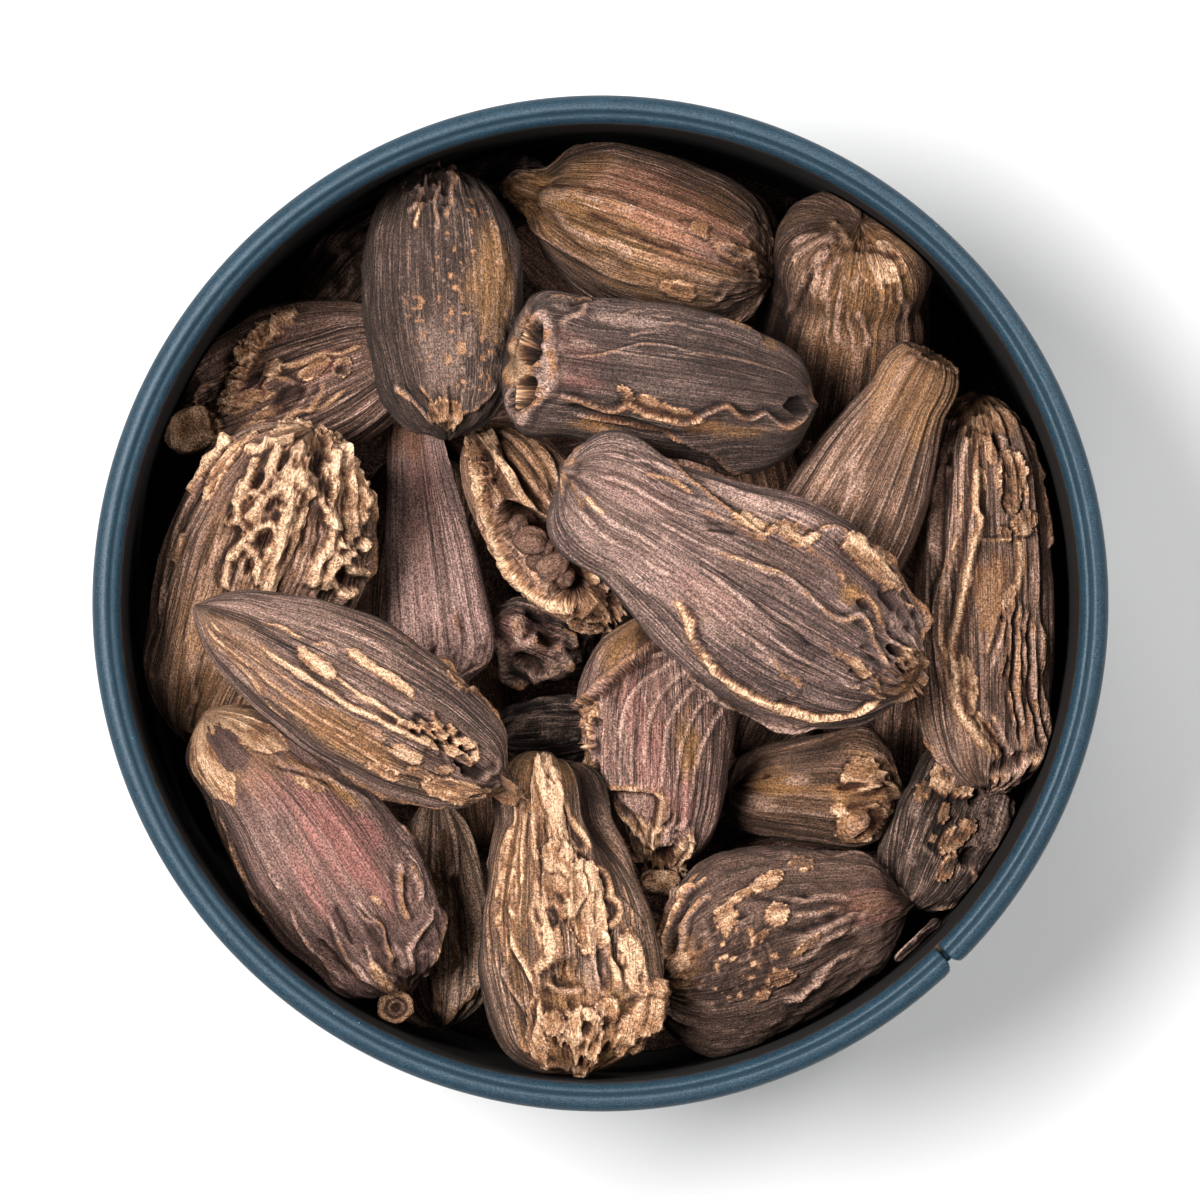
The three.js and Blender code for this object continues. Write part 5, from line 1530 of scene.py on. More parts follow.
def open_mouth(h):
    """A dark pod whose near end is open and walled, with a torn lip along it."""
    h.blunt(near=0.22, far=0.1)
    h.swell((0.8, -1), (4.5, 3), 1.9)
    h.lumps(9, 0.3)
    h.ribs(2.6, 26, 0.18, 0.05, 0.4, 1)
    h.ribs(0.9, 22, 0.07, 0.2, 0.3)
    h.stain("red", (0.22, -0.18), (3.5, 1.2), 0.55)
    h.stain("red", (0.2, 0.1), (3, 2), 0.25)
    h.stain("red", (0.45, -0.38), (3, 0.8), 0.4)
    h.stain("dark", (0.85, -0.05), (4, 3), 0.3)
    h.stain("tan", (0.02, 0), (1.6, 6), 0.9, 1.2)
    h.pit((0.055, 0.27), (1.15, 2.2), 3, -6, seen=True)
    h.pit((0.052, -0.5), (1, 1.7), 2.8, -22, seen=True)
    h.fold(via(7, 76, 10, 50, 11.5, 25, 12.5, 10, 13, -10, 12.5, -35, 10.5, -52, 7.5, -68, 5, -85), 0.5,
           0.4, 0.45, wander=0.15, rag=0.6, taper=0.03)
    h.stain("pale", (0.13, 0), (0.8, 2.4), 0.8, 0.8)
    h.layer(via(8, 90, 15, 93, 22, 95, 30, 96), 1.5, 0.3, 0.3, 0.15)
    h.groove(via(15, 84, 20, 90, 26, 94, 30, 95), 0.3, 0.6)
    h.fold(via(13, 52, 17, 64, 20, 74, 23, 86), 0.3, 0.25, 0.2)
    h.stain("pale", (0.38, 0.72), (5, 0.8), 0.6, 0.9)
    h.stain("pale", (0.23, 0.33), (1.2, 0.4), 0.7, 0.6)
    for k, (a, x) in enumerate(via(30, 60, 36, 55, 33, 80, 42, 78, 47, 72)):
        h.fold([(a, x), (a + 0.04, x + 0.03), (a + 0.08, x + 0.04)], 0.2, 0.15, 0.3, k)
    h.fold(via(12, 12, 17, 14, 22, 16, 30, 24, 38, 36, 45, 42, 52, 42, 60, 42, 70, 44, 80, 48, 90, 50,
               96, 45), 0.2, 0.22, 0.35, wander=0.15, rag=0.6)
    lip = via(12, -42, 18, -40, 22, -42, 27, -46, 33, -49, 37, -44, 40, -38, 45, -43, 50, -46, 56, -50,
              61, -48, 64, -38, 68, -26, 71, -22, 75, -34, 79, -38, 83, -29, 86, -36, 90, -50, 95, -42,
              98, -20)
    h.layer(lip, 1.6, 0.55, 0.4, 0.1, under=0.85, below=0.9)
    h.fold(lip, 0.26, 0.3, 0.3, wander=0.05, rag=0.2, lean=0.3)
    h.plate((0.5, -0.4), (4, 0.75), 0.15, 0.9, 0.15, turn=-6, tan=0.85)
    h.plate((0.385, -0.27), (0.95, 0.45), 0.5, 1, 0.1, seed=1, turn=-30, tan=0.9)
    h.groove(via(17, -52, 26, -56, 34, -58, 42, -60, 50, -64, 58, -70), 0.42, 0.9, 1, wander=0.1)
    h.swell((0.72, -0.6), (3.5, 1.6), -0.5)
    h.stain("dark", (0.6, -0.62), (2.5, 0.7), 0.8)
    h.stain("ochre", (0.66, -0.6), (2.4, 0.8), 1, 1)
    h.stain("tan", (0.65, -0.58), (1.6, 0.5), 0.4, 0.8)
    h.stain("ochre", (0.78, -0.65), (2.4, 0.9), 0.6)
    h.stain("dark", (0.85, -0.8), (3.5, 1.6), 0.6)
    edge = via(20, -67, 27, -65, 36, -63, 43, -66, 50, -66, 56, -74, 62, -83, 66, -86, 70, -93, 75, -97,
               80, -99)
    h.layer(edge, 1.5, 0.3, 0.5, 0.1, -1, 0.24, 0.6, 0.7, 3)
    h.fold(edge, 0.22, 0.3, 0.5, 1, 0.1)
    h.stain("ochre", (0.32, -0.79), (3.3, 0.8), 1, 1.2, -5)
    h.stain("tan", (0.32, -0.79), (2.8, 0.55), 0.6, 0.8, -5)
    h.pit((0.935, -0.15), (1.1, 0.8), 0.9)
    h.stain("tan", (0.985, 0.3), (0.7, 1.2), 0.7, 1)
    h.stain("ochre", (0.82, 0.88), (1.3, 0.9), 0.7)
    h.layer(via(60, 93, 68, 95, 76, 95, 80, 90), 1, 0.35, 0.4, 0.1, seed=5)
    h.frill(via(66, -97, 72, -100, 78, -100, 84, -97), 1, 1, 0.2, 2)
    h.stain("dark", (0.72, 0.45), (6, 2.4), 0.45, 1.6, seed=5)
    h.stain("dark", (0.74, -0.8), (6, 2), 0.5, 1.6, seed=6)


def split(h):
    """A tan pod split along its side, so that its seeds show."""
    h.lumps(7, 0.3)
    h.ribs(1.5, 16, 0.3, 0.3)
    h.ribs(0.7, 12, 0.15, 0.4, seed=1)
    h.stain("ochre", (0.25, 0.3), (5, 3), 0.5)
    hollow = ramp(1.14 - h.spot((0.6, -0.29), (5.8, 2.3), 7), 0, 0.2)
    h.height -= 4.2 * hollow
    h.marks["pale"] *= 1 - hollow
    # Painted shade in the hollow where the seeds lie.
    h.add("dark", 0.9 * hollow)
    h.stain("ochre", (0.76, -0.42), (1.8, 1), 0.9, 1.5)
    for k, x in enumerate((0.24, 0.46, 0.7)):
        h.fold([(0.06, 0.9 * x), (0.16, x), (0.28, x + 0.02), (0.4, 0.8 * x)], 0.5, 0.5, 0.55, 10 + k,
               0.2, 0.3)
    h.groove(via(8, 12, 18, 12, 28, 12, 38, 14, 46, 22), 0.3, 0.7)
    h.groove(via(10, -20, 18, -25, 27, -30, 36, -32), 0.5, 0.9, seed=1)
    h.plate((0.13, -0.3), (2.2, 1.6), 0.4, 0.8, 0.6, seed=1)
    for place in via(13, -25, 18, -42, 24, -36):
        h.pit(place, (0.5, 0.35), 0.7)
    lips = (via(4, 12, 14, 3, 22, -3, 30, -4, 37, -5, 44, -6, 50, 6, 57, 16, 65, 21, 72, 24, 78, 22,
                81.5, 8, 83, -5),
            via(12, -50, 20, -56, 29, -70, 36, -72, 45, -79, 54, -84, 65, -84, 74, -76, 80, -60,
                83, -38, 84, -10))
    for k, places in enumerate(lips):
        d, t = h.near(places, 0.12, 2.5, k)
        ends = eased(t, 0.08)
        thick = 0.46 + 0.1 * fractal(h.flow / 1.6, 2, 31 + k)
        band = ramp(1.25 - np.abs(d) / thick, 0, 0.5) * ends * (1 - ramp(hollow, 0.1, 0.6))
        h.height += 1.25 * band + 0.25 * band * fractal(h.flow / 0.9, 2, 33 + k)
        h.marks["dark"] *= 1 - band
        h.add("tan", band * (0.8 + 0.3 * fractal(h.flow / 0.8, 2, 35 + k)))
        h.add("pale", 0.2 * band)
        # A painted shadow just beside each lip.
        h.add("dark", 0.7 * ends * np.exp(-((np.abs(d) - 0.85) / 0.22) ** 2))
    h.fold(via(30, -90, 42, -95, 56, -98, 70, -92, 80, -78), 0.4, 0.5, 0.8, 2, 0.15)
    h.plate((0.92, -0.25), (1.8, 2.4), 0.4, 0.9, 0.5, 0.7, 2)
    h.plate((0.98, 0.15), (1.6, 1.6), 0.3, 0.8, 0.5, 0.7, 3)
    h.pit((0.86, 0.2), (0.9, 0.4), 0.6)
    h.pit((0.9, 0.42), (0.8, 0.4), 0.6)
    h.crumple((0.93, -0.1), (3, 4), 0.5, 2, 1)


def centre_pink(h):
    """A pink pod with slanting stripes, torn at its far end."""
    h.swell((0.78, 0.95), (6, 3), 1)
    h.lumps(8, 0.3)
    h.ribs(2.2, 22, 0.35, 0.12, 0.4, 1, 35)
    h.ribs(0.9, 14, 0.2, 0.5, 0.3, twist=45)
    h.stain("red", (0.26, -0.45), (3, 1.5), 0.6, 2)
    h.stain("red", (0.5, -0.12), (4.5, 1.4), 0.7, 2)
    h.stain("red", (0.66, 0.35), (2.4, 1.6), 0.75)
    h.stain("ochre", (0.44, 0.36), (3.2, 1.6), 1, 1.5)
    h.stain("dark", (0.7, -0.05), (1.4, 1), 0.5)
    h.layer(via(36, -100, 28, -86, 20, -62, 14, -35, 9, 0, 9, 35), 6, 1.1, 0.35, 0.2, -1, 0.3, 0.4, 1.2,
            dark=1)
    h.stain("ochre", (0.06, -0.6), (3, 2.5), 0.9)
    h.stain("dark", (0.05, -0.2), (1.4, 1.8), 0.9)
    sweep = (via(10, 15, 13, -20, 18, -50, 25, -75, 35, -82),
             via(12, 35, 17, 0, 22, -30, 30, -48, 42, -55),
             via(15, 50, 22, 15, 30, -10, 40, -22, 52, -27), via(20, 60, 28, 30, 37, 10, 50, 2, 60, 0),
             via(25, 75, 33, 45, 42, 30, 55, 22, 68, 20), via(30, 85, 40, 65, 52, 50, 65, 45))
    for k, places in enumerate(sweep):
        h.fold(places, 0.26, 0.25, 0, 20 + k, 0.15, 0.9)
        away = np.abs(h.near(places, 0.15, 2.5, 20 + k)[0])
        h.add("pale", 0.9 * ramp(0.3 - away, 0, 0.2))
    for k, (a, x, w) in enumerate(((0.33, -0.88, 1.3), (0.42, -0.94, 1.4), (0.5, -0.92, 1.2),
                                   (0.58, -0.94, 1.2))):
        h.plate((a, x), (w, 0.8), 0.6, 0.9, 0.6, 0.9, 30 + k)
    h.pit((0.37, -0.84), (0.6, 0.3), 0.6)
    h.pit((0.47, -0.86), (0.7, 0.3), 0.6)
    h.pit((0.54, -0.86), (0.5, 0.3), 0.6)
    h.layer(via(66, -95, 62, -70, 62.5, -40, 63.5, -12, 67, -2, 72, -6, 78, -14, 84, -22), 3.5, 0.8, 1,
            0.2, -1, 0.4, dark=0.95)
    h.plate((0.8, -0.42), (2.4, 1.1), 0.3, 1, 0.35, 1, 1, -12)
    h.stain("pale", (0.68, -0.35), (1.6, 1.4), 0.8)
    h.fold(via(66, -78, 73, -62, 80, -50, 88, -40), 0.4, 0.5, 0.9, rag=0.3)
    h.groove(via(67, -62, 74, -48, 80, -36), 0.25, 0.5)
    h.fold(via(70, -28, 77, -30, 84, -28), 0.35, 0.4, 0.9, 1)
    h.crumple((0.78, 0.2), (2.4, 1.9), grain=1.5)
    h.stain("pale", (0.78, 0.2), (2, 1.4), 0.7)
    h.pit((0.855, 0.22), (0.9, 0.8), 0.9)
    h.stain("ochre", (0.91, 0.12), (1.5, 1.5), 1)
    h.plate((0.85, 0.62), (2.2, 0.7), 0.5, 1, 0.35, 1, 2, 8)
    h.fold(via(76, 40, 80, 56, 86, 66, 92, 58), 0.35, 0.5, 0.9, 3)
    h.frill(via(30, -86, 38, -92, 46, -95, 54, -93, 62, -90), 0.8, 0.4, 0.85, 1, 0.8)
    h.frill(via(68, -90, 76, -82, 84, -70, 90, -60), 0.8, 0.5, 0.8, 2)
    h.knob((0.96, 0), (1.9, 1.25, 1), off=(0.2, -0.5, 0.8))
    h.plate((0.97, 0), (1.5, 2.2), 0.3, 1, 0.25, 1, 4)
    h.groove(via(92, 60, 92.5, 0, 92, -60), 0.3, 0.6)


def right(h):
    """A long tan pod with deep furrows and torn ridges."""
    h.swell((0.8, -0.95), (7, 3.5), 0.9)
    h.swell((0.92, 0.95), (4, 3), 0.8)
    h.lumps(8, 0.4)
    h.ribs(2.2, 22, 0.3, 0.15, seed=1)
    h.ribs(0.9, 18, 0.18, 0.4, 0.3)
    h.swell((0.48, 0.05), (6, 2.6), 0.6)
    h.stain("tan", (0.5, 0.08), (4, 1.8), 0.55, 1.5)
    h.stain("tan", (0.05, 0.1), (2.2, 4), 0.6, 1.2)
    h.stain("dark", (0.75, 0.15), (3, 1), 0.55)
    h.stain("dark", (0.42, -0.72), (9, 1), 0.45)
    main = via(6, -12, 12, -8, 20, -6, 29, -11, 32, -4, 38, -13, 44, -20, 50, -27, 55, -33, 60, -42,
               65, -46, 70, -44, 76, -42, 80, -36, 84, -22, 88, -6, 92, 15, 94, 36)
    h.layer(main, 3.5, 0.55, 1, 0.15, rim=0.4, under=0.25)
    h.fold(main[2:], 0.5, 0.45, 1, wander=0.08, rag=0.4, lean=1)
    strand = via(6, -27, 12, -26, 18, -33, 24, -36, 30, -36, 35, -42, 41, -47, 47, -55, 54, -62, 60, -63,
                 68, -58, 75, -52, 82, -42)
    h.fold(strand, 0.32, 0.45, 0.85, 1, 0.08, lean=1)
    h.fold([(a, x - 0.09) for a, x in strand[2:]], 0.22, 0.3, 0.6, 3, 0.08, 0.7)
    h.groove([(a, x + 0.12) for a, x in strand[:-3]], 0.3, 0.5, wander=0.1)
    h.groove(via(14, -56, 22, -60, 33, -62, 43, -70, 53, -78, 66, -76), 0.4, 0.5, 0.7, 2)
    h.fold(via(18, -74, 30, -78, 42, -82), 0.7, 0.5, 0.25, 2)
    h.pit((0.165, -0.58), (0.8, 0.4), 0.7)
    h.plate((0.1, -0.08), (1.5, 0.6), 0.2, 1, 0.1, 1, 1)
    h.plate((0.22, -0.05), (1, 0.5), 0.2, 1, 0, 1, 2)
    h.plate((0.145, 0.14), (1.2, 0.5), 0.3, 1, 0.1, 0.9, 3, 10)
    h.pit((0.125, 0.28), (1, 0.45), 0.8, 5)
    h.pit((0.1, -0.24), (0.7, 0.3), 0.5)
    h.pit((0.28, 0.3), (1, 0.35), 0.6, 15)
    h.plate((0.22, 0.45), (2.6, 1.2), 0.5, 1, 0.4, 0.75, 4)
    h.fold(via(16.5, 32, 20, 22, 25, 21, 29, 33, 31.5, 48), 0.35, 0.5, 0.9, 4, 0.1, 0.3)
    h.fold(via(13, 45, 18, 62, 25, 66, 31, 60), 0.4, 0.5, 0.7, 5, 0.1)
    h.plate((0.33, 0.58), (0.9, 1.3), 0.6, 1, 0.3, 0.8, 5, 30)
    h.plate((0.358, 0.28), (0.75, 0.6), 0.5, 1, 0.1, 1, 6, 20)
    h.fold(via(37.2, -10, 37, 12, 37.5, 40), 0.22, 0.3, 0.8, 6, 0.05)
    h.stain("dark", (0.405, 0.12), (0.9, 1), 0.45)
    h.layer(via(37, 45, 42, 47, 47, 42, 51, 35, 55, 24), 2, 0.35, 1, 0.2, -1, 0.45)
    h.plate((0.52, 0.3), (1.2, 0.4), 0.2, 1, 0.1, 1, 7, -30)
    h.pit((0.565, 0.2), (0.35, 0.2), 0.5)
    for k, (a, x, b, y) in enumerate(((0.56, 0.14, 0.66, -0.06), (0.57, 0.26, 0.7, 0.04),
                                      (0.58, 0.34, 0.72, 0.16))):
        h.fold([(a, x), ((a + b) / 2, (x + y) / 2 + 0.02), (b, y)], 0.32, 0.4, 0.8, 30 + k, 0.1, 0.4)
    for k, x in enumerate((0.38, 0.5, 0.62, 0.74, 0.86)):
        h.fold([(0.5 + 0.02 * k, x - 0.02), (0.62, x - 0.06), (0.74, x - 0.04), (0.84, x + 0.08),
                (0.92, x + 0.2)], 0.3, 0.42, 0.6, 10 + k, 0.2, 0.6)
        h.groove([(0.56, x - 0.12), (0.68, x - 0.12), (0.8, x - 0.03), (0.9, x + 0.1)], 0.26, 0.4, 0.7,
                 20 + k)
    h.plate((0.745, -0.31), (2.7, 0.85), 0.12, 1, 0.05, 1, 8, 4)
    h.plate((0.86, 0.02), (2.2, 0.5), 0.2, 1, 0.1, 0.85, 9, 28)
    h.groove(via(82, -12, 86, 4, 89, 20, 92, 34), 0.2, 0.6, 1, 5, 0.1)
    h.fold(via(81, 5, 85, 20, 89, 34, 92, 48), 0.35, 0.45, 0.9, 7, 0.1)
    h.fold(via(97, 5, 95, 40, 92, 75, 88, 98), 0.45, 0.5, 0.8, 8)
    h.frill(via(6, 85, 16, 95, 28, 97, 42, 97), 0.7, -0.6, 0.4, 1)
    h.frill(via(76, -95, 86, -92, 94, -70, 99, -40), 0.8, 0.6, 0.6, 2)
    h.crumple((0.06, 0.2), (3, 5), 0.5)
    h.crumple((0.97, 0.5), (2.5, 3.5), seed=1)


def bottom_right(h):
    """A dark round pod with pale flakes and dust."""
    h.bend(-1.4, 0, 0.45)
    h.blunt(near=0, far=0.12)
    h.swell((0.86, 0.9), (3.5, 2.5), 0.7)
    h.swell((0, 0), (3, 6), -1.1)
    h.swell((0.22, -1), (7, 3), 0.9)
    h.lumps(8, 0.45)
    h.ribs(2.8, 22, 0.25, 0.1, 0.7, 1)
    h.ribs(0.9, 18, 0.1, 0.2, 0.6)
    h.height += 0.3 * fractal(h.flow / [1.2, 1.2, 2.0], 3, 77)
    h.crumple((0.3, -0.1), (5, 5), 0.3, 1.5)
    blur = 0.3 * fractal(h.flow / 1.5, 3, 79)
    h.add("dark", 0.7 * ramp(1.3 - h.spot((0.33, -0.2), (4.8, 3.8)) + blur, 0, 0.6))
    h.grit((0.32, -0.15), (4, 3.6), 1)
    h.stain("ochre", (0.84, 0.2), (2.6, 1.4), 0.35, 2)
    h.stain("red", (0.84, 0.2), (3, 2), 0.4)
    h.stain("ochre", (0.12, 0.12), (1.9, 2.3), 1, 1.5)
    h.plate((0.12, 0.14), (1, 1.3), 0.2, 0.85, 0.1, 0.8, 4)
    h.plate((0.325, 0.36), (0.85, 1.35), 0.5, 1, 0.12, 0.85)
    h.plate((0.385, 0.52), (1.6, 0.42), 0.4, 1, 0.15, 0.85, 1, 12)
    h.plate((0.49, 0.6), (1.9, 0.85), 0.4, 0.95, 0.3, 0.75, 7, 20)
    h.plate((0.505, 0.22), (1.2, 1.3), 0.45, 0.9, 0.15, 0.85, 2, -20)
    h.fold(via(56, 20, 63, 18, 70, 15, 77, 14), 0.45, 0.35, 0.35, rag=0.8)
    h.plate((0.415, 0.03), (1.2, 0.5), 0.1, 0.8, 0.1, 0.5, 3, 15)
    h.plate((0.465, -0.42), (1.35, 0.85), 0.4, 0.95, 0.35, 0.55, 5)
    h.plate((0.58, -0.16), (1.6, 0.35), 0.25, 0.8, 0.3, 0.4, 8, 20)
    h.plate((0.38, -0.56), (1, 0.6), 0.3, 0.8, 0.3, 0.4, 9)
    h.plate((0.635, 0.8), (1, 0.8), 0.3, 1, 0.15, 0.45, 6)
    for k, (a, x, b, y) in enumerate(((0.55, -0.02, 0.85, -0.02), (0.5, -0.22, 0.8, -0.18),
                                      (0.45, -0.66, 0.78, -0.5), (0.5, 0.4, 0.8, 0.32))):
        h.fold([(a, x), ((2 * a + b) / 3, x - 0.04), ((a + 2 * b) / 3, y + 0.03), (b, y)], 0.5, 0.35,
               0.15, 20 + k, rag=0.8)
    h.groove(via(50, 8, 62, 5, 75, 6), 0.35, 0.35, 0.6)
    h.groove(via(42, 46, 55, 42, 66, 40), 0.4, 0.3, 0.6, 1)
    h.fold(via(7, 30, 10, 52, 16, 70, 25, 84), 0.5, 0.7, 0.85, 3)
    h.fold(via(12, 30, 16, 50, 23, 62, 30, 66), 0.4, 0.5, 0.6, 1)
    h.pit((0.12, 0.48), (0.7, 0.35), 0.7, 60)
    h.pit((0.18, 0.62), (0.7, 0.3), 0.6, 30)
    h.fold(via(18, 75, 24, 82, 30, 84), 0.35, 0.4, 0.95, 5)
    h.frill(via(6, 35, 11, 62, 19, 85, 30, 94), 0.8, -0.6, 0.6, 1)


def upper_left(h):
    """A dark dusty pod with a pale star at its far tip."""
    h.swell((1, 0), (4, 5), -1.2)
    h.lumps(9, 0.35)
    h.ribs(2.6, 24, 0.25, 0.08, 0.6, 1)
    h.ribs(0.9, 20, 0.1, 0.15, 0.6)
    h.height += 0.18 * fractal(h.flow / [0.9, 0.9, 1.6], 3, 78)
    h.grit((0.45, 0.3), (9, 6), 0.6)
    h.stain("ochre", (0.4, 0.62), (4.5, 2.6), 0.7)
    h.stain("pale", (0.7, 0), (5, 2.4), 0.45, 1.5)
    h.grit((0.68, 0.2), (5, 4), 0.7)
    h.plate((0.9, -0.04), (1.5, 1.6), 0.25, 0.7, 0.5, tan=0.9)
    for k, x in enumerate((-0.5, -0.25, 0, 0.25, 0.5)):
        h.fold([(0.78, x * 1.5), (0.86, x), (0.93, x * 0.4)], 0.35, 0.4, 0.45, 10 + k)
    h.fold(via(12, -24, 17, -27, 23, -27), 0.3, 0.35, 0.9)
    h.fold(via(2, 25, 6, 35, 12, 20, 20, 12), 0.4, 0.5, 0.5, 1)
    h.fold(via(3, -15, 10, -25, 18, -40), 0.4, 0.5, 0.4, 2)
    h.fold(via(5, 0, 14, 2, 25, 0), 0.35, 0.4, 0.35, 3)
    h.crumple((0.04, 0), (3.5, 4), 0.7, 2)
    h.frill(via(3, 50, 0, 20, 0, -20, 3, -50), 1.1, 0.2, 0.5, 1, 0.9)


def top(h):
    """A large brown ribbed pod with a crumpled stalk end."""
    h.lumps(9, 0.4)
    h.ribs(3.6, 24, 0.9, 0.3, 0.6, 1)
    h.ribs(1.1, 16, 0.16, 0.35, 0.4)
    h.stain("ochre", (0.45, -0.1), (11, 6), 0.6)
    h.fold(via(16, 10, 25, 13, 36, 12, 50, 10), 0.7, 0.4, 0.4)
    h.groove(via(28, -8, 45, -12, 60, -12, 72, -10), 0.6, 0.6, 0.6)
    h.fold(via(20, -30, 35, -34, 55, -30), 0.8, 0.4, 0.2, 1)
    h.plate((0.72, -0.5), (2.6, 1.2), 0.2, 0.6, 0.4, tan=0.7)
    h.plate((0.86, 0.08), (2.2, 1.3), 0.2, 0.55, 0.4, seed=1, tan=0.55)
    h.plate((0.7, 0.2), (2.2, 1.3), 0.2, 0.45, 0.3, seed=2, tan=0.5)
    h.stain("ochre", (0.07, 0), (3, 3.5), 1)
    h.crumple((0.06, 0), (3, 3.5), 0.8, 1.6)
    h.crumple((0.93, 0), (3.5, 7), 0.5, seed=1)
    h.groove(via(13, 50, 12, 0, 13, -50), 0.7, 0.7, 0.7)
    h.stain("red", (0.62, 0.25), (8, 4), 0.55, 1.8)
    h.stain("dark", (0.74, 0.6), (6, 2.6), 0.5, 1.4)
    h.stain("dark", (0.9, -0.1), (3, 3), 0.4, 1.4, seed=1)


def top_right(h):
    """A round tan-brown pod with fine pale arcs."""
    h.fatten(1)
    h.blunt(far=0.35)
    h.swell((1, 0), (5, 6), 0.3)
    h.lumps(8, 0.4)
    h.ribs(1.7, 18, 0.22, 0.35, 0.4, 1)
    h.ribs(0.8, 14, 0.12, 0.45, 0.3)
    h.stain("ochre", (0.6, -0.2), (6, 4), 0.5)
    # Painted shade on the left side, where the pod lies in shadow.
    h.stain("dark", (0.42, 0.78), (5, 2.2), 1)
    h.stain("dark", (0.85, 0.88), (3, 1.4), 0.4)
    h.layer(via(50, 62, 62, 56, 74, 50, 83, 40, 88, 20), 6, 0.4, 0.15, 0.2, -1)
    h.plate((0.845, -0.28), (1, 1.5), 0.15, 0.9, 0.05, 0.9)
    h.plate((0.95, -0.2), (0.8, 1.2), 0.15, 0.9, 0.1, 0.5, 1)
    h.stain("ochre", (0.92, -0.25), (2.2, 2), 0.9, 1.5)
    h.groove(via(90, -2, 90, -25, 89.5, -50), 0.25, 0.35, wander=0.1, taper=0.05)
    h.groove(via(100, -5, 94, -2, 88, 0), 0.25, 0.35, 0.8, 1, 0.1, 0.05)
    arcs = (via(86, 30, 80, 40, 72, 42, 64, 40), via(84, 20, 78, 28, 70, 30, 60, 26),
            via(92, 10, 95, 30, 92, 60, 86, 80), via(90, 8, 91, 35, 86, 60, 78, 75),
            via(60, -10, 54, -20, 47, -28, 40, -32), via(58, 0, 52, -6, 45, -12, 38, -14),
            via(78, -55, 70, -60, 62, -66, 56, -70), via(72, 12, 60, 10, 50, 6, 40, 2),
            via(66, 22, 56, 20, 46, 16, 36, 14))
    for k, places in enumerate(arcs):
        h.strip(places, 0.2, 0.9, 0.9, seed=k, mark="pale")
    h.strip(via(102, 35, 97, 22, 92, 6), 0.2, 0.8, 0.5, seed=12)
    h.crumple((0.98, 0), (3, 4), 0.2, 1.9)


def cone(h):
    """A brown cone with fine even ribs and a flat base."""
    h.blunt(near=0.22)
    h.flatten(1.3)
    h.lumps(9, 0.25)
    h.ribs(0.9, 30, 0.2, 0.6, 0.15, 1)
    h.ribs(0.55, 26, 0.1, 0.5, 0.1)
    h.stain("ochre", (0.15, 0), (7, 6), 0.6)
    h.fold(via(3, 80, 1, 30, 2, -40, 6, -85), 0.5, 0.3, 0.6)


def left_upper(h):
    """A dark pod with a pale scab and a cut stalk end."""
    h.swell((0.42, 0.95), (8, 3), 1.1)
    h.swell((0.17, 0.95), (4, 3), 1.2)
    h.lumps(8, 0.4)
    h.ribs(1.9, 20, 0.4, 0.3, seed=1)
    h.ribs(0.9, 16, 0.18, 0.4, 0.3)
    h.stain("red", (0.6, 0.1), (3.5, 1.6), 0.6)
    h.stain("red", (0.3, 0.2), (2.5, 1), 0.5)
    h.stain("ochre", (0.1, 0.02), (2.4, 2.6), 1, 1.5)
    h.plate((0.1, 0.02), (2.2, 2.2), 0.5, 1, 0.3, 0.95)
    h.knob((0.08, 0.02), (2.4, 2.1, 1.3), turn=30, off=(-0.2, 0.2, 0.8))
    for k, (a, x) in enumerate(via(2, 30, 2, -25, 19, 12, 17, -20, 10, 42)):
        h.groove([(0.1, 0.02), ((0.1 + a) / 2, (0.02 + x) / 2), (a, x)], 0.2, 0.35, 0.8, k, 0.15, 0.02)
    for k, place in enumerate(via(25, 26, 29, 42, 34, 58, 39, 68, 45, 75, 53, 78)):
        h.plate(place, (1.5, 0.85), 0.5, 0.95, 0.35, 0.85, k, 35)
    h.stain("ochre", (0.34, 0.58), (3.5, 1.2), 0.9, turn=30)
    h.plate((0.3, 0.12), (2.3, 0.65), 0.5, 1, 0.25, 0.7, 8, -12)
    h.plate((0.26, 0.05), (1.3, 0.45), 0.2, 1, 0.1, 1, 9, -12)
    h.plate((0.43, 0.35), (0.95, 0.75), 0.6, 1, 0.15, 0.85, 10)
    h.fold(via(36, 12, 40, 22, 46, 16, 51, 4), 0.4, 0.5, 0.6, rag=0.3)
    h.plate((0.57, 0.12), (2, 0.9), 0.45, 0.85, 0.5, 0.5, 11, 8)
    h.plate((0.67, 0), (1.1, 1), 0.4, 0.8, 0.5, 0.45, 12)
    h.pit((0.66, -0.02), (0.55, 0.35), 0.4, dark=0.6)
    h.fold(via(60, -8, 57, -20, 53, -30, 48, -38), 0.45, 0.5, 0.5, 1, rag=0.4)
    h.pit((0.35, 0.33), (1, 0.6), 0.5, 30, 0.65)
    h.pit((0.435, -0.1), (1.9, 1), 0.5, 12, 0.75)
    h.pit((0.22, 0.42), (0.7, 0.35), 0.4, dark=0.6)
    h.strip(via(46, 34, 53, 26, 62, 28, 70, 20, 78, 22), 0.22, 0.7, seed=1)
    h.strip(via(38, -34, 46, -30, 55, -36, 66, -30), 0.2, 0.6, seed=2)
    h.strip(via(20, -30, 27, -22, 34, -26), 0.25, 0.7, seed=3)
    h.plate((0.35, -0.16), (1.6, 0.5), 0.25, 0.8, 0.3, 0.35, 13, -8)
    h.fold(via(13, 50, 17, 57, 22, 52), 0.35, 0.5, 0.6, 2, rag=0.4)
    h.fold(via(24, -35, 30, -45, 36, -42), 0.4, 0.4, 0.4, 4)
    h.crumple((0.28, -0.5), (3, 2), 0.5)
    h.crumple((0.1, 0.6), (3, 2), 0.4, seed=1)


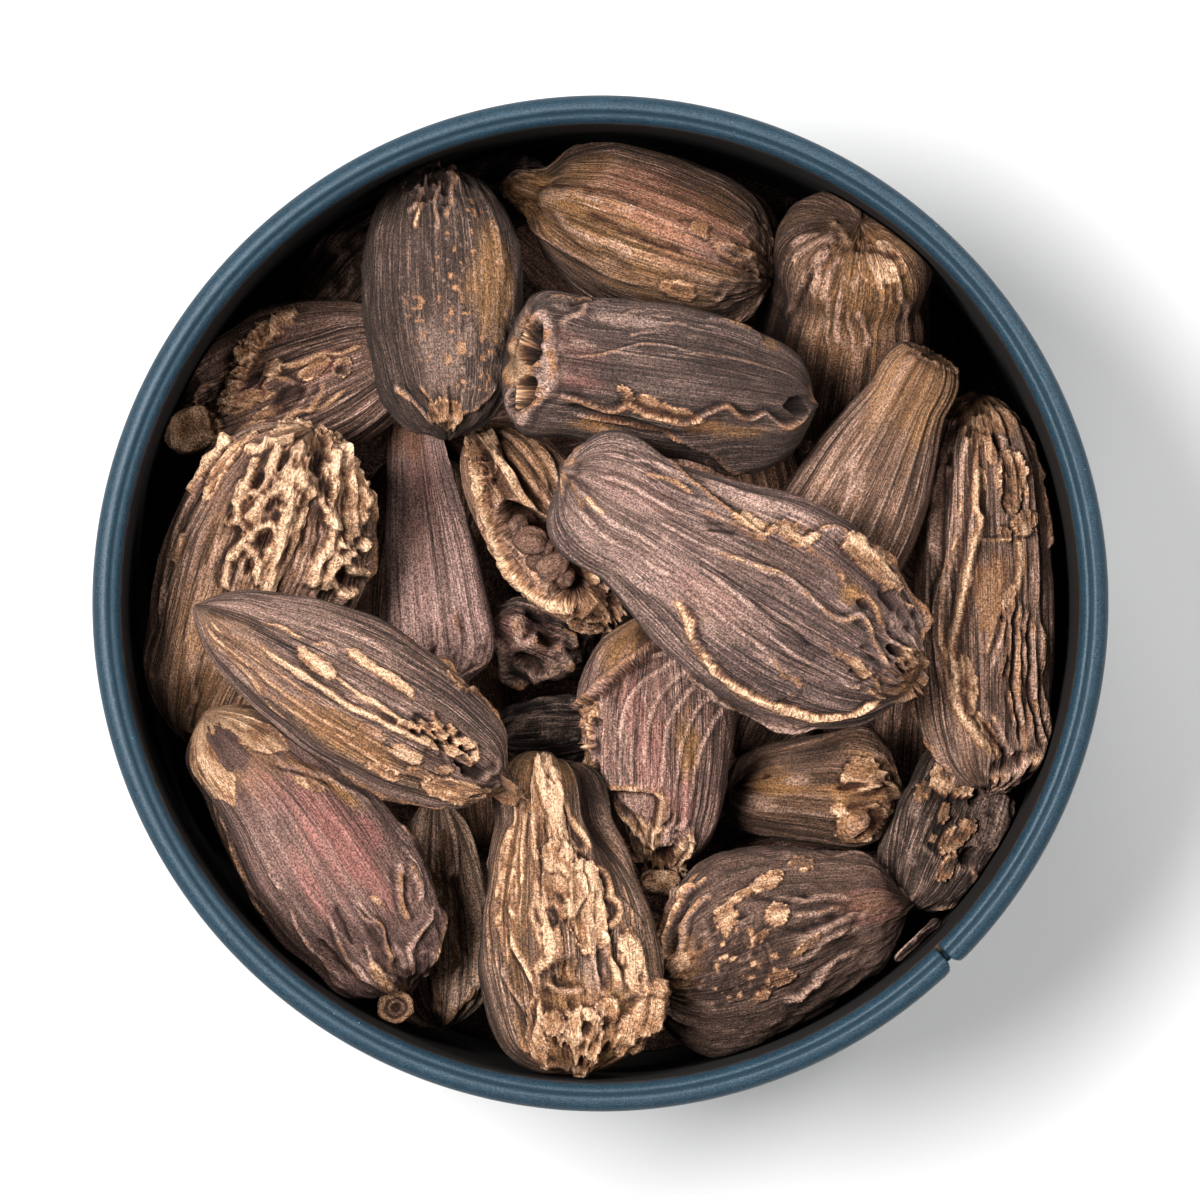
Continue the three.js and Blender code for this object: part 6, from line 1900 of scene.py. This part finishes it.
def slender(h):
    """A slender reddish pod with fine ribs."""
    h.lumps(8, 0.25)
    h.ribs(1.6, 26, 0.3, 0.3, 0.3, 1)
    h.ribs(0.7, 22, 0.13, 0.5, 0.2)
    h.stain("red", (0.25, 0), (5, 1.6), 0.55)
    h.stain("red", (0.5, -0.2), (6, 1.2), 0.45)
    h.stain("ochre", (0.08, -0.5), (3, 2), 0.8)
    h.fold(via(76, 30, 84, 33, 90, 25, 92, 10), 0.3, 0.4, 0.45)
    h.fold(via(78, 0, 86, 2, 92, -10), 0.3, 0.4, 0.3, 1)
    h.crumple((0.94, 0.1), (3, 6), grain=2.4)
    h.frill(via(90, 95, 96, 60, 99, 10, 97, -40, 92, -90), 1, 0.2, 0.35, 1)


def small_ochre(h):
    """A short ochre pod, torn at its far end."""
    h.swell((0.02, 0), (3, 6), -1.6)
    h.swell((0.15, 0.5), (4, 4), -1.2)
    h.swell((0.4, 0.9), (6, 3), -1.2)
    h.swell((0.9, -0.7), (3, 3), 1)
    h.swell((0.88, 0.85), (2.5, 2.5), 1.8)
    h.lumps(5, 0.4)
    h.ribs(1.8, 14, 0.4, 0.25, seed=1)
    h.ribs(0.8, 12, 0.15, 0.35, 0.3)
    h.stain("ochre", (0.35, 0.1), (5, 1.8), 0.8, 1.5)
    h.stain("ochre", (0.86, -0.1), (2.4, 4), 0.9, 1.5)
    h.stain("pale", (0.5, 0.18), (1.6, 0.7), 0.8)
    h.stain("pale", (0.3, -0.35), (1.4, 0.6), 0.6)
    h.stain("dark", (0.6, 0.72), (4, 1.6), 0.65)
    h.stain("dark", (0.5, -0.75), (5, 1.2), 0.5)
    h.plate((0.83, 0.3), (1.5, 1.4), 0.45, 0.95, 0.4)
    h.plate((0.84, -0.5), (1.8, 1.2), 0.45, 0.9, 0.4, 0.5, 1, 35)
    h.plate((0.74, -0.3), (0.55, 0.5), 0.3, 1, 0, 1, 2)
    h.plate((0.945, 0.3), (0.4, 0.4), 0.2, 1, 0, 1, 3)
    h.pit((0.8, 0.1), (1.1, 0.35), 0.6, 10)
    h.pit((0.9, -0.45), (0.4, 0.9), 0.6)
    h.pit((0.32, 0.3), (0.35, 0.3), 0.3)
    h.fold(via(90, 35, 91, 20, 90, 0), 0.4, 0.5, 0.8)
    h.fold(via(80, -62, 84, -48, 88, -30), 0.35, 0.5, 0.8, 1)
    h.fold(via(95, 85, 98, 40, 97, 0, 100, -50), 0.5, 0.5, 0.6, 2)
    h.crumple((0.88, 0), (2.5, 5), 0.45)


def crumpled(h):
    """A small dark crumpled pod with a pale loop at one end."""
    h.swell((0.35, 0.95), (4, 3), 1.2)
    h.swell((0.75, 0.95), (4, 3), 1.4)
    h.lumps(5, 0.6)
    h.ribs(1.8, 14, 0.4, 0.25, seed=1)
    h.ribs(0.9, 10, 0.2, 0.4)
    h.crumple((0.5, 0.1), (7, 5), grain=2.6)
    h.stain("pale", (0.35, 0.7), (2.5, 1.5), 0.4)
    h.plate((0.25, -0.2), (1.3, 1.9), 0.9, 1, 0.15, 1, 3)
    h.plate((0.15, -0.55), (1.5, 0.7), 0.7, 1, 0.2, 1, 4)
    h.pit((0.16, -0.2), (0.8, 1.1), 1)
    h.groove(via(12, -42, 20, -42), 0.2, 0.4, wander=0)
    h.plate((0.53, 0.28), (1.9, 0.85), 0.6, 1, 0.2, 0.65, turn=-20)
    h.plate((0.72, 0.38), (1.6, 0.7), 0.5, 0.9, 0.3, 0.4, 1, -10)
    h.plate((0.42, -0.1), (1, 0.5), 0.5, 0.95, 0.2, seed=2, turn=10)
    h.plate((0.585, -0.1), (0.5, 0.4), 0.4, 1, 0.1, 0.95, 5)
    h.plate((0.35, -0.65), (1.2, 0.7), 0.5, 0.85, 0.3, 0.5, 6)
    h.fold(via(20, 75, 30, 95, 42, 98, 52, 85), 0.4, 0.5, 0.5)
    h.fold(via(62, 75, 72, 95, 84, 90, 92, 60), 0.4, 0.5, 0.5, 1)
    h.pit((0.6, 0.62), (1.2, 0.5), 0.8)
    h.pit((0.28, 0.35), (0.8, 0.5), 0.7)
    h.frill(via(15, 85, 35, 97, 55, 98, 75, 95), 0.8, -0.6, 0.4, 1)


def shrivelled(h):
    """A shrivelled dark husk of folds and holes."""
    h.swell((0.4, -1), (4, 3), 1.2)
    h.lumps(3.5, 0.6)
    h.crumple((0.5, 0.1), (6, 4), 0.5)
    h.swell((0.75, -0.5), (1.5, 1.5), 1.3)
    h.swell((0.3, 0), (1.6, 1.2), 0.8)
    h.swell((0.45, -0.2), (1.4, 0.9), 0.7)
    h.pit((0.5, -0.62), (1.5, 0.8), 1.6)
    h.pit((0.57, -0.02), (1.1, 0.6), 1)
    h.pit((0.36, 0.4), (0.9, 0.6), 0.8)
    ridges = (via(28, 30, 31, -5, 38, -30, 46, -15, 52, -10, 60, -25),
              via(62, -10, 72, -5, 82, -20, 86, -50), via(20, -45, 28, -80, 42, -98, 60, -95),
              via(56, -60, 58, -80, 68, -90), via(66, 35, 76, 30, 84, 10))
    for k, places in enumerate(ridges):
        h.fold(places, 0.6, 0.8, 0.45, k, 0.25, 0.4)
    h.stain("pale", (0.74, -0.5), (1.2, 1.2), 1)
    h.stain("ochre", (0.76, -0.62), (0.9, 0.7), 0.8)
    h.stain("red", (0.4, -0.1), (3, 2), 0.4)


def low_bottom_left(h):
    """A narrow pod, low down, made pale partly by painted light."""
    h.lumps(6, 0.4)
    h.ribs(1.6, 20, 0.6, 0.8, 0.4, 1)
    h.ribs(0.8, 16, 0.2, 0.5)
    h.stain("pale", (0.5, 0.1), (9, 2), 0.35)
    h.fold(via(10, 25, 30, 12, 50, 15, 70, 25, 85, 20), 0.5, 0.5, 0.6)
    h.fold(via(30, -2, 50, 0, 70, -5, 85, -10, 93, 0), 0.45, 0.5, 0.6, 1)
    h.fold(via(80, 75, 90, 60, 95, 20, 90, -30), 0.5, 0.5, 0.6, 2)
    h.groove(via(30, 40, 50, 42, 70, 50), 0.5, 0.6)


def crescent(h):
    """The curved edge of a husk, mostly under its neighbour."""
    h.lumps(6, 0.3)
    h.ribs(1.5, 14, 0.35, 0.4)
    h.fold(via(5, 60, 25, 80, 50, 70, 70, 50, 85, 30), 0.6, 0.6, 0.6)


def plain(h):
    """A pod deep in the shade."""
    h.lumps(6, 0.4)
    h.ribs(1.7, 15, 0.45, 0.4)
    h.ribs(0.8, 12, 0.15, 0.3, seed=1)
    h.crumple((0.5, 0), (8, 6), 0.35, 2.6)


def chip(h):
    """A chip of husk against the rim."""
    h.shift(0.35, -0.4, 0.4)
    h.lumps(3, 0.3)
    h.ribs(0.9, 6, 0.25, 0.5)


# Each pod: its heading from the near tip to the far one, how fine its mesh is, its slot,
# its body colour, how clearly its lines show, and what is on it.
PODS = [
    ("pod_shrivelled", -25, 0.3, "husk_dark", (80, 62, 52), 1, shrivelled),
    ("pod_low_dark", 5, 0.45, "husk_dark", (56, 46, 41), 1, plain),
    ("pod_crescent", 70, 0.35, "husk_brown", (96, 72, 56), 1, crescent),
    ("pod_low_upper_left", 50, 0.45, "husk_brown", (84, 60, 46), 1, plain),
    ("pod_low_top", 15, 0.5, "husk_dark", (70, 54, 46), 1, plain),
    ("pod_low_right", -80, 0.45, "husk_brown", (78, 56, 42), 1, plain),
    # This pod's body colour is lifted far above the others' as painted light, against the shade it lies in.
    ("pod_low_bottom_left", -89, 0.32, "husk_brown", (244, 204, 176), 1, low_bottom_left),
    ("pod_small_ochre", -3, 0.28, "husk_tan", (108, 80, 62), 0.6, small_ochre),
    ("pod_crumpled", -113, 0.28, "husk_dark", (74, 57, 48), 1, crumpled),
    ("pod_slender", -83, 0.27, "husk_red", (190, 154, 144), 0.75, slender),
    ("pod_split", -56, 0.24, "husk_tan", (176, 134, 106), 1, split),
    ("pod_left_upper", 23, 0.26, "husk_dark", (112, 84, 71), 1, left_upper),
    ("pod_left_crusted", -112, 0.27, "husk_tan", (130, 98, 78), 1, left_crusted),
    ("pod_top_right", 82, 0.28, "husk_tan", (100, 72, 54), 0.7, top_right),
    ("pod_top", -20, 0.29, "husk_brown", (90, 64, 46), 1, top),
    ("pod_right", -89, 0.27, "husk_tan", (144, 112, 94), 1, right),
    ("pod_centre_pink", -91, 0.25, "husk_red", (132, 101, 90), 1, centre_pink),
    ("pod_bottom_right", 14, 0.27, "husk_dark", (90, 68, 57), 0.35, bottom_right),
    ("pod_lower_left", -57, 0.26, "husk_red", (112, 86, 78), 0.35, lower_left),
    ("pod_cone", -117, 0.27, "husk_brown", (112, 84, 67), 0.8, cone),
    ("pod_bottom", -86, 0.26, "husk_tan", (104, 78, 60), 1, bottom),
    ("pod_upper_left", -87, 0.28, "husk_dark", (64, 49, 42), 0.4, upper_left),
    ("pod_open_mouth", -8, 0.25, "husk_dark", (82, 65, 59), 0.5, open_mouth),
    ("pod_left_striped", -30, 0.26, "husk_dark", (110, 86, 76), 1, left_striped),
    ("pod_centre_big", -31, 0.25, "husk_dark", (112, 90, 83), 0.85, centre_big),
    ("husk_chip", 43, 0.4, "husk_dark", (92, 70, 60), 1, chip),
]

# The solids of these two are hollow above: the hollow is cut into the husk instead.
HOLLOW_ABOVE = ("pod_split", "pod_open_mouth")

for number, (node, heading, spacing, slot, body, lined, dress) in enumerate(PODS):
    pod = Husk(node, heading, spacing, number * 5 + 1, mirror=node in HOLLOW_ABOVE)
    dress(pod)
    pod.build(husk_material(node.replace("pod_", "husk_of_"), body, number * 1.9, lined))


def make_seeds():
    """Seeds in their skin, clustered in the split pod."""
    node = "pod_split_seeds"
    low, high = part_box(node)
    middle = (low.z + high.z) / 2 / MM
    look = husk_material("seed_skin", (112, 84, 70), 50, 0.35, 0.6)
    rng = np.random.default_rng(12)
    # Each seed: x, y, its length and width, and how far it lies above the middle.
    seeds = ((-7.7, 7.6, 2.2, 1.9, 0), (-6.7, 6, 3.3, 2.8, 0.7), (-5.2, 5.4, 2.2, 1.8, -0.1),
             (-4.5, 3.6, 3.4, 2.8, 0.6), (-5.9, 4.1, 2.4, 2.2, -0.5), (-3.4, 2.5, 2.2, 2, -0.3),
             (-7.7, 6.5, 2, 1.8, -0.6), (-4.2, 4.9, 2, 1.8, -0.7))
    for k, (x, y, long, wide, lift) in enumerate(seeds):
        oval = ((x, y, middle + lift), (long, wide, 2.7))
        h = Husk(node, rng.random() * 180, 0.3, 300 + k, oval=oval)
        h.lumps(1.3, 0.16)
        h.lumps(0.6, 0.08, 2)
        h.build(look, "seed_%02d" % k)


make_seeds()


# ---------------------------------------------------------------- floor, light and camera

FLOOR_HALF, FLOOR_LEVEL = 1200, -0.05
FLOOR_GREY, FLOOR_ROUGH = 0.36, 0.9
SKY = 0.28
AIM = Vector((0, 0, 0.03))
CAMERA_PLACE = (-0.00004, 0.00032, 0.9384)
CAMERA_LENS, SENSOR_WIDTH = 288.7, 36
CLIP = (0.05, 10)

# Round lamps: place and width in metres, and power.
LAMPS = {"key": ((-0.38, 0.08, 0.78), 0.4, 16.5),
         "upper_right": ((0.46, 0.46, 0.6), 0.22, 4.6),
         "above": ((-0.08, 0.55, 0.66), 0.35, 2.5),
         "below": ((0.05, -0.55, 0.66), 0.35, 2.5),
         "right": ((0.56, -0.04, 0.66), 0.35, 1.6)}


def make_floor():
    """A wide grey floor under the tin."""
    corners = [(x * FLOOR_HALF, y * FLOOR_HALF, FLOOR_LEVEL)
               for x, y in ((-1, -1), (1, -1), (1, 1), (-1, 1))]
    floor = make_mesh("studio_floor", corners, [(0, 1, 2, 3)])
    g = Graph("studio_white")
    g.put(g.shader, Base_Color=(FLOOR_GREY, FLOOR_GREY, FLOOR_GREY, 1), Roughness=FLOOR_ROUGH)
    floor.data.materials.append(g.material)


def make_world():
    """Even light from all round."""
    world = bpy.data.worlds.new("studio")
    world.use_nodes = True
    back = world.node_tree.nodes["Background"]
    back.inputs["Color"].default_value = (1, 1, 1, 1)
    back.inputs["Strength"].default_value = SKY
    bpy.context.scene.world = world


def make_lamp(name, place, width, power):
    """A round lamp that shines at the pods."""
    light = bpy.data.lights.new(name, "AREA")
    light.shape = "DISK"
    light.size = width
    light.energy = power
    lamp = bpy.data.objects.new(name, light)
    lamp.location = place
    lamp.rotation_mode = "QUATERNION"
    lamp.rotation_quaternion = (AIM - Vector(place)).to_track_quat("-Z", "Y")
    bpy.context.scene.collection.objects.link(lamp)


def make_camera():
    """A long lens straight above."""
    data = bpy.data.cameras.new("camera")
    data.lens = CAMERA_LENS
    data.sensor_width = SENSOR_WIDTH
    data.clip_start, data.clip_end = CLIP
    camera = bpy.data.objects.new("camera", data)
    camera.location = CAMERA_PLACE
    bpy.context.scene.collection.objects.link(camera)
    bpy.context.scene.camera = camera


make_floor()
make_world()
for name, lamp in LAMPS.items():
    make_lamp(name, *lamp)
make_camera()

view_settings = bpy.context.scene.view_settings
view_settings.view_transform = "Standard"
view_settings.look = "Medium High Contrast"
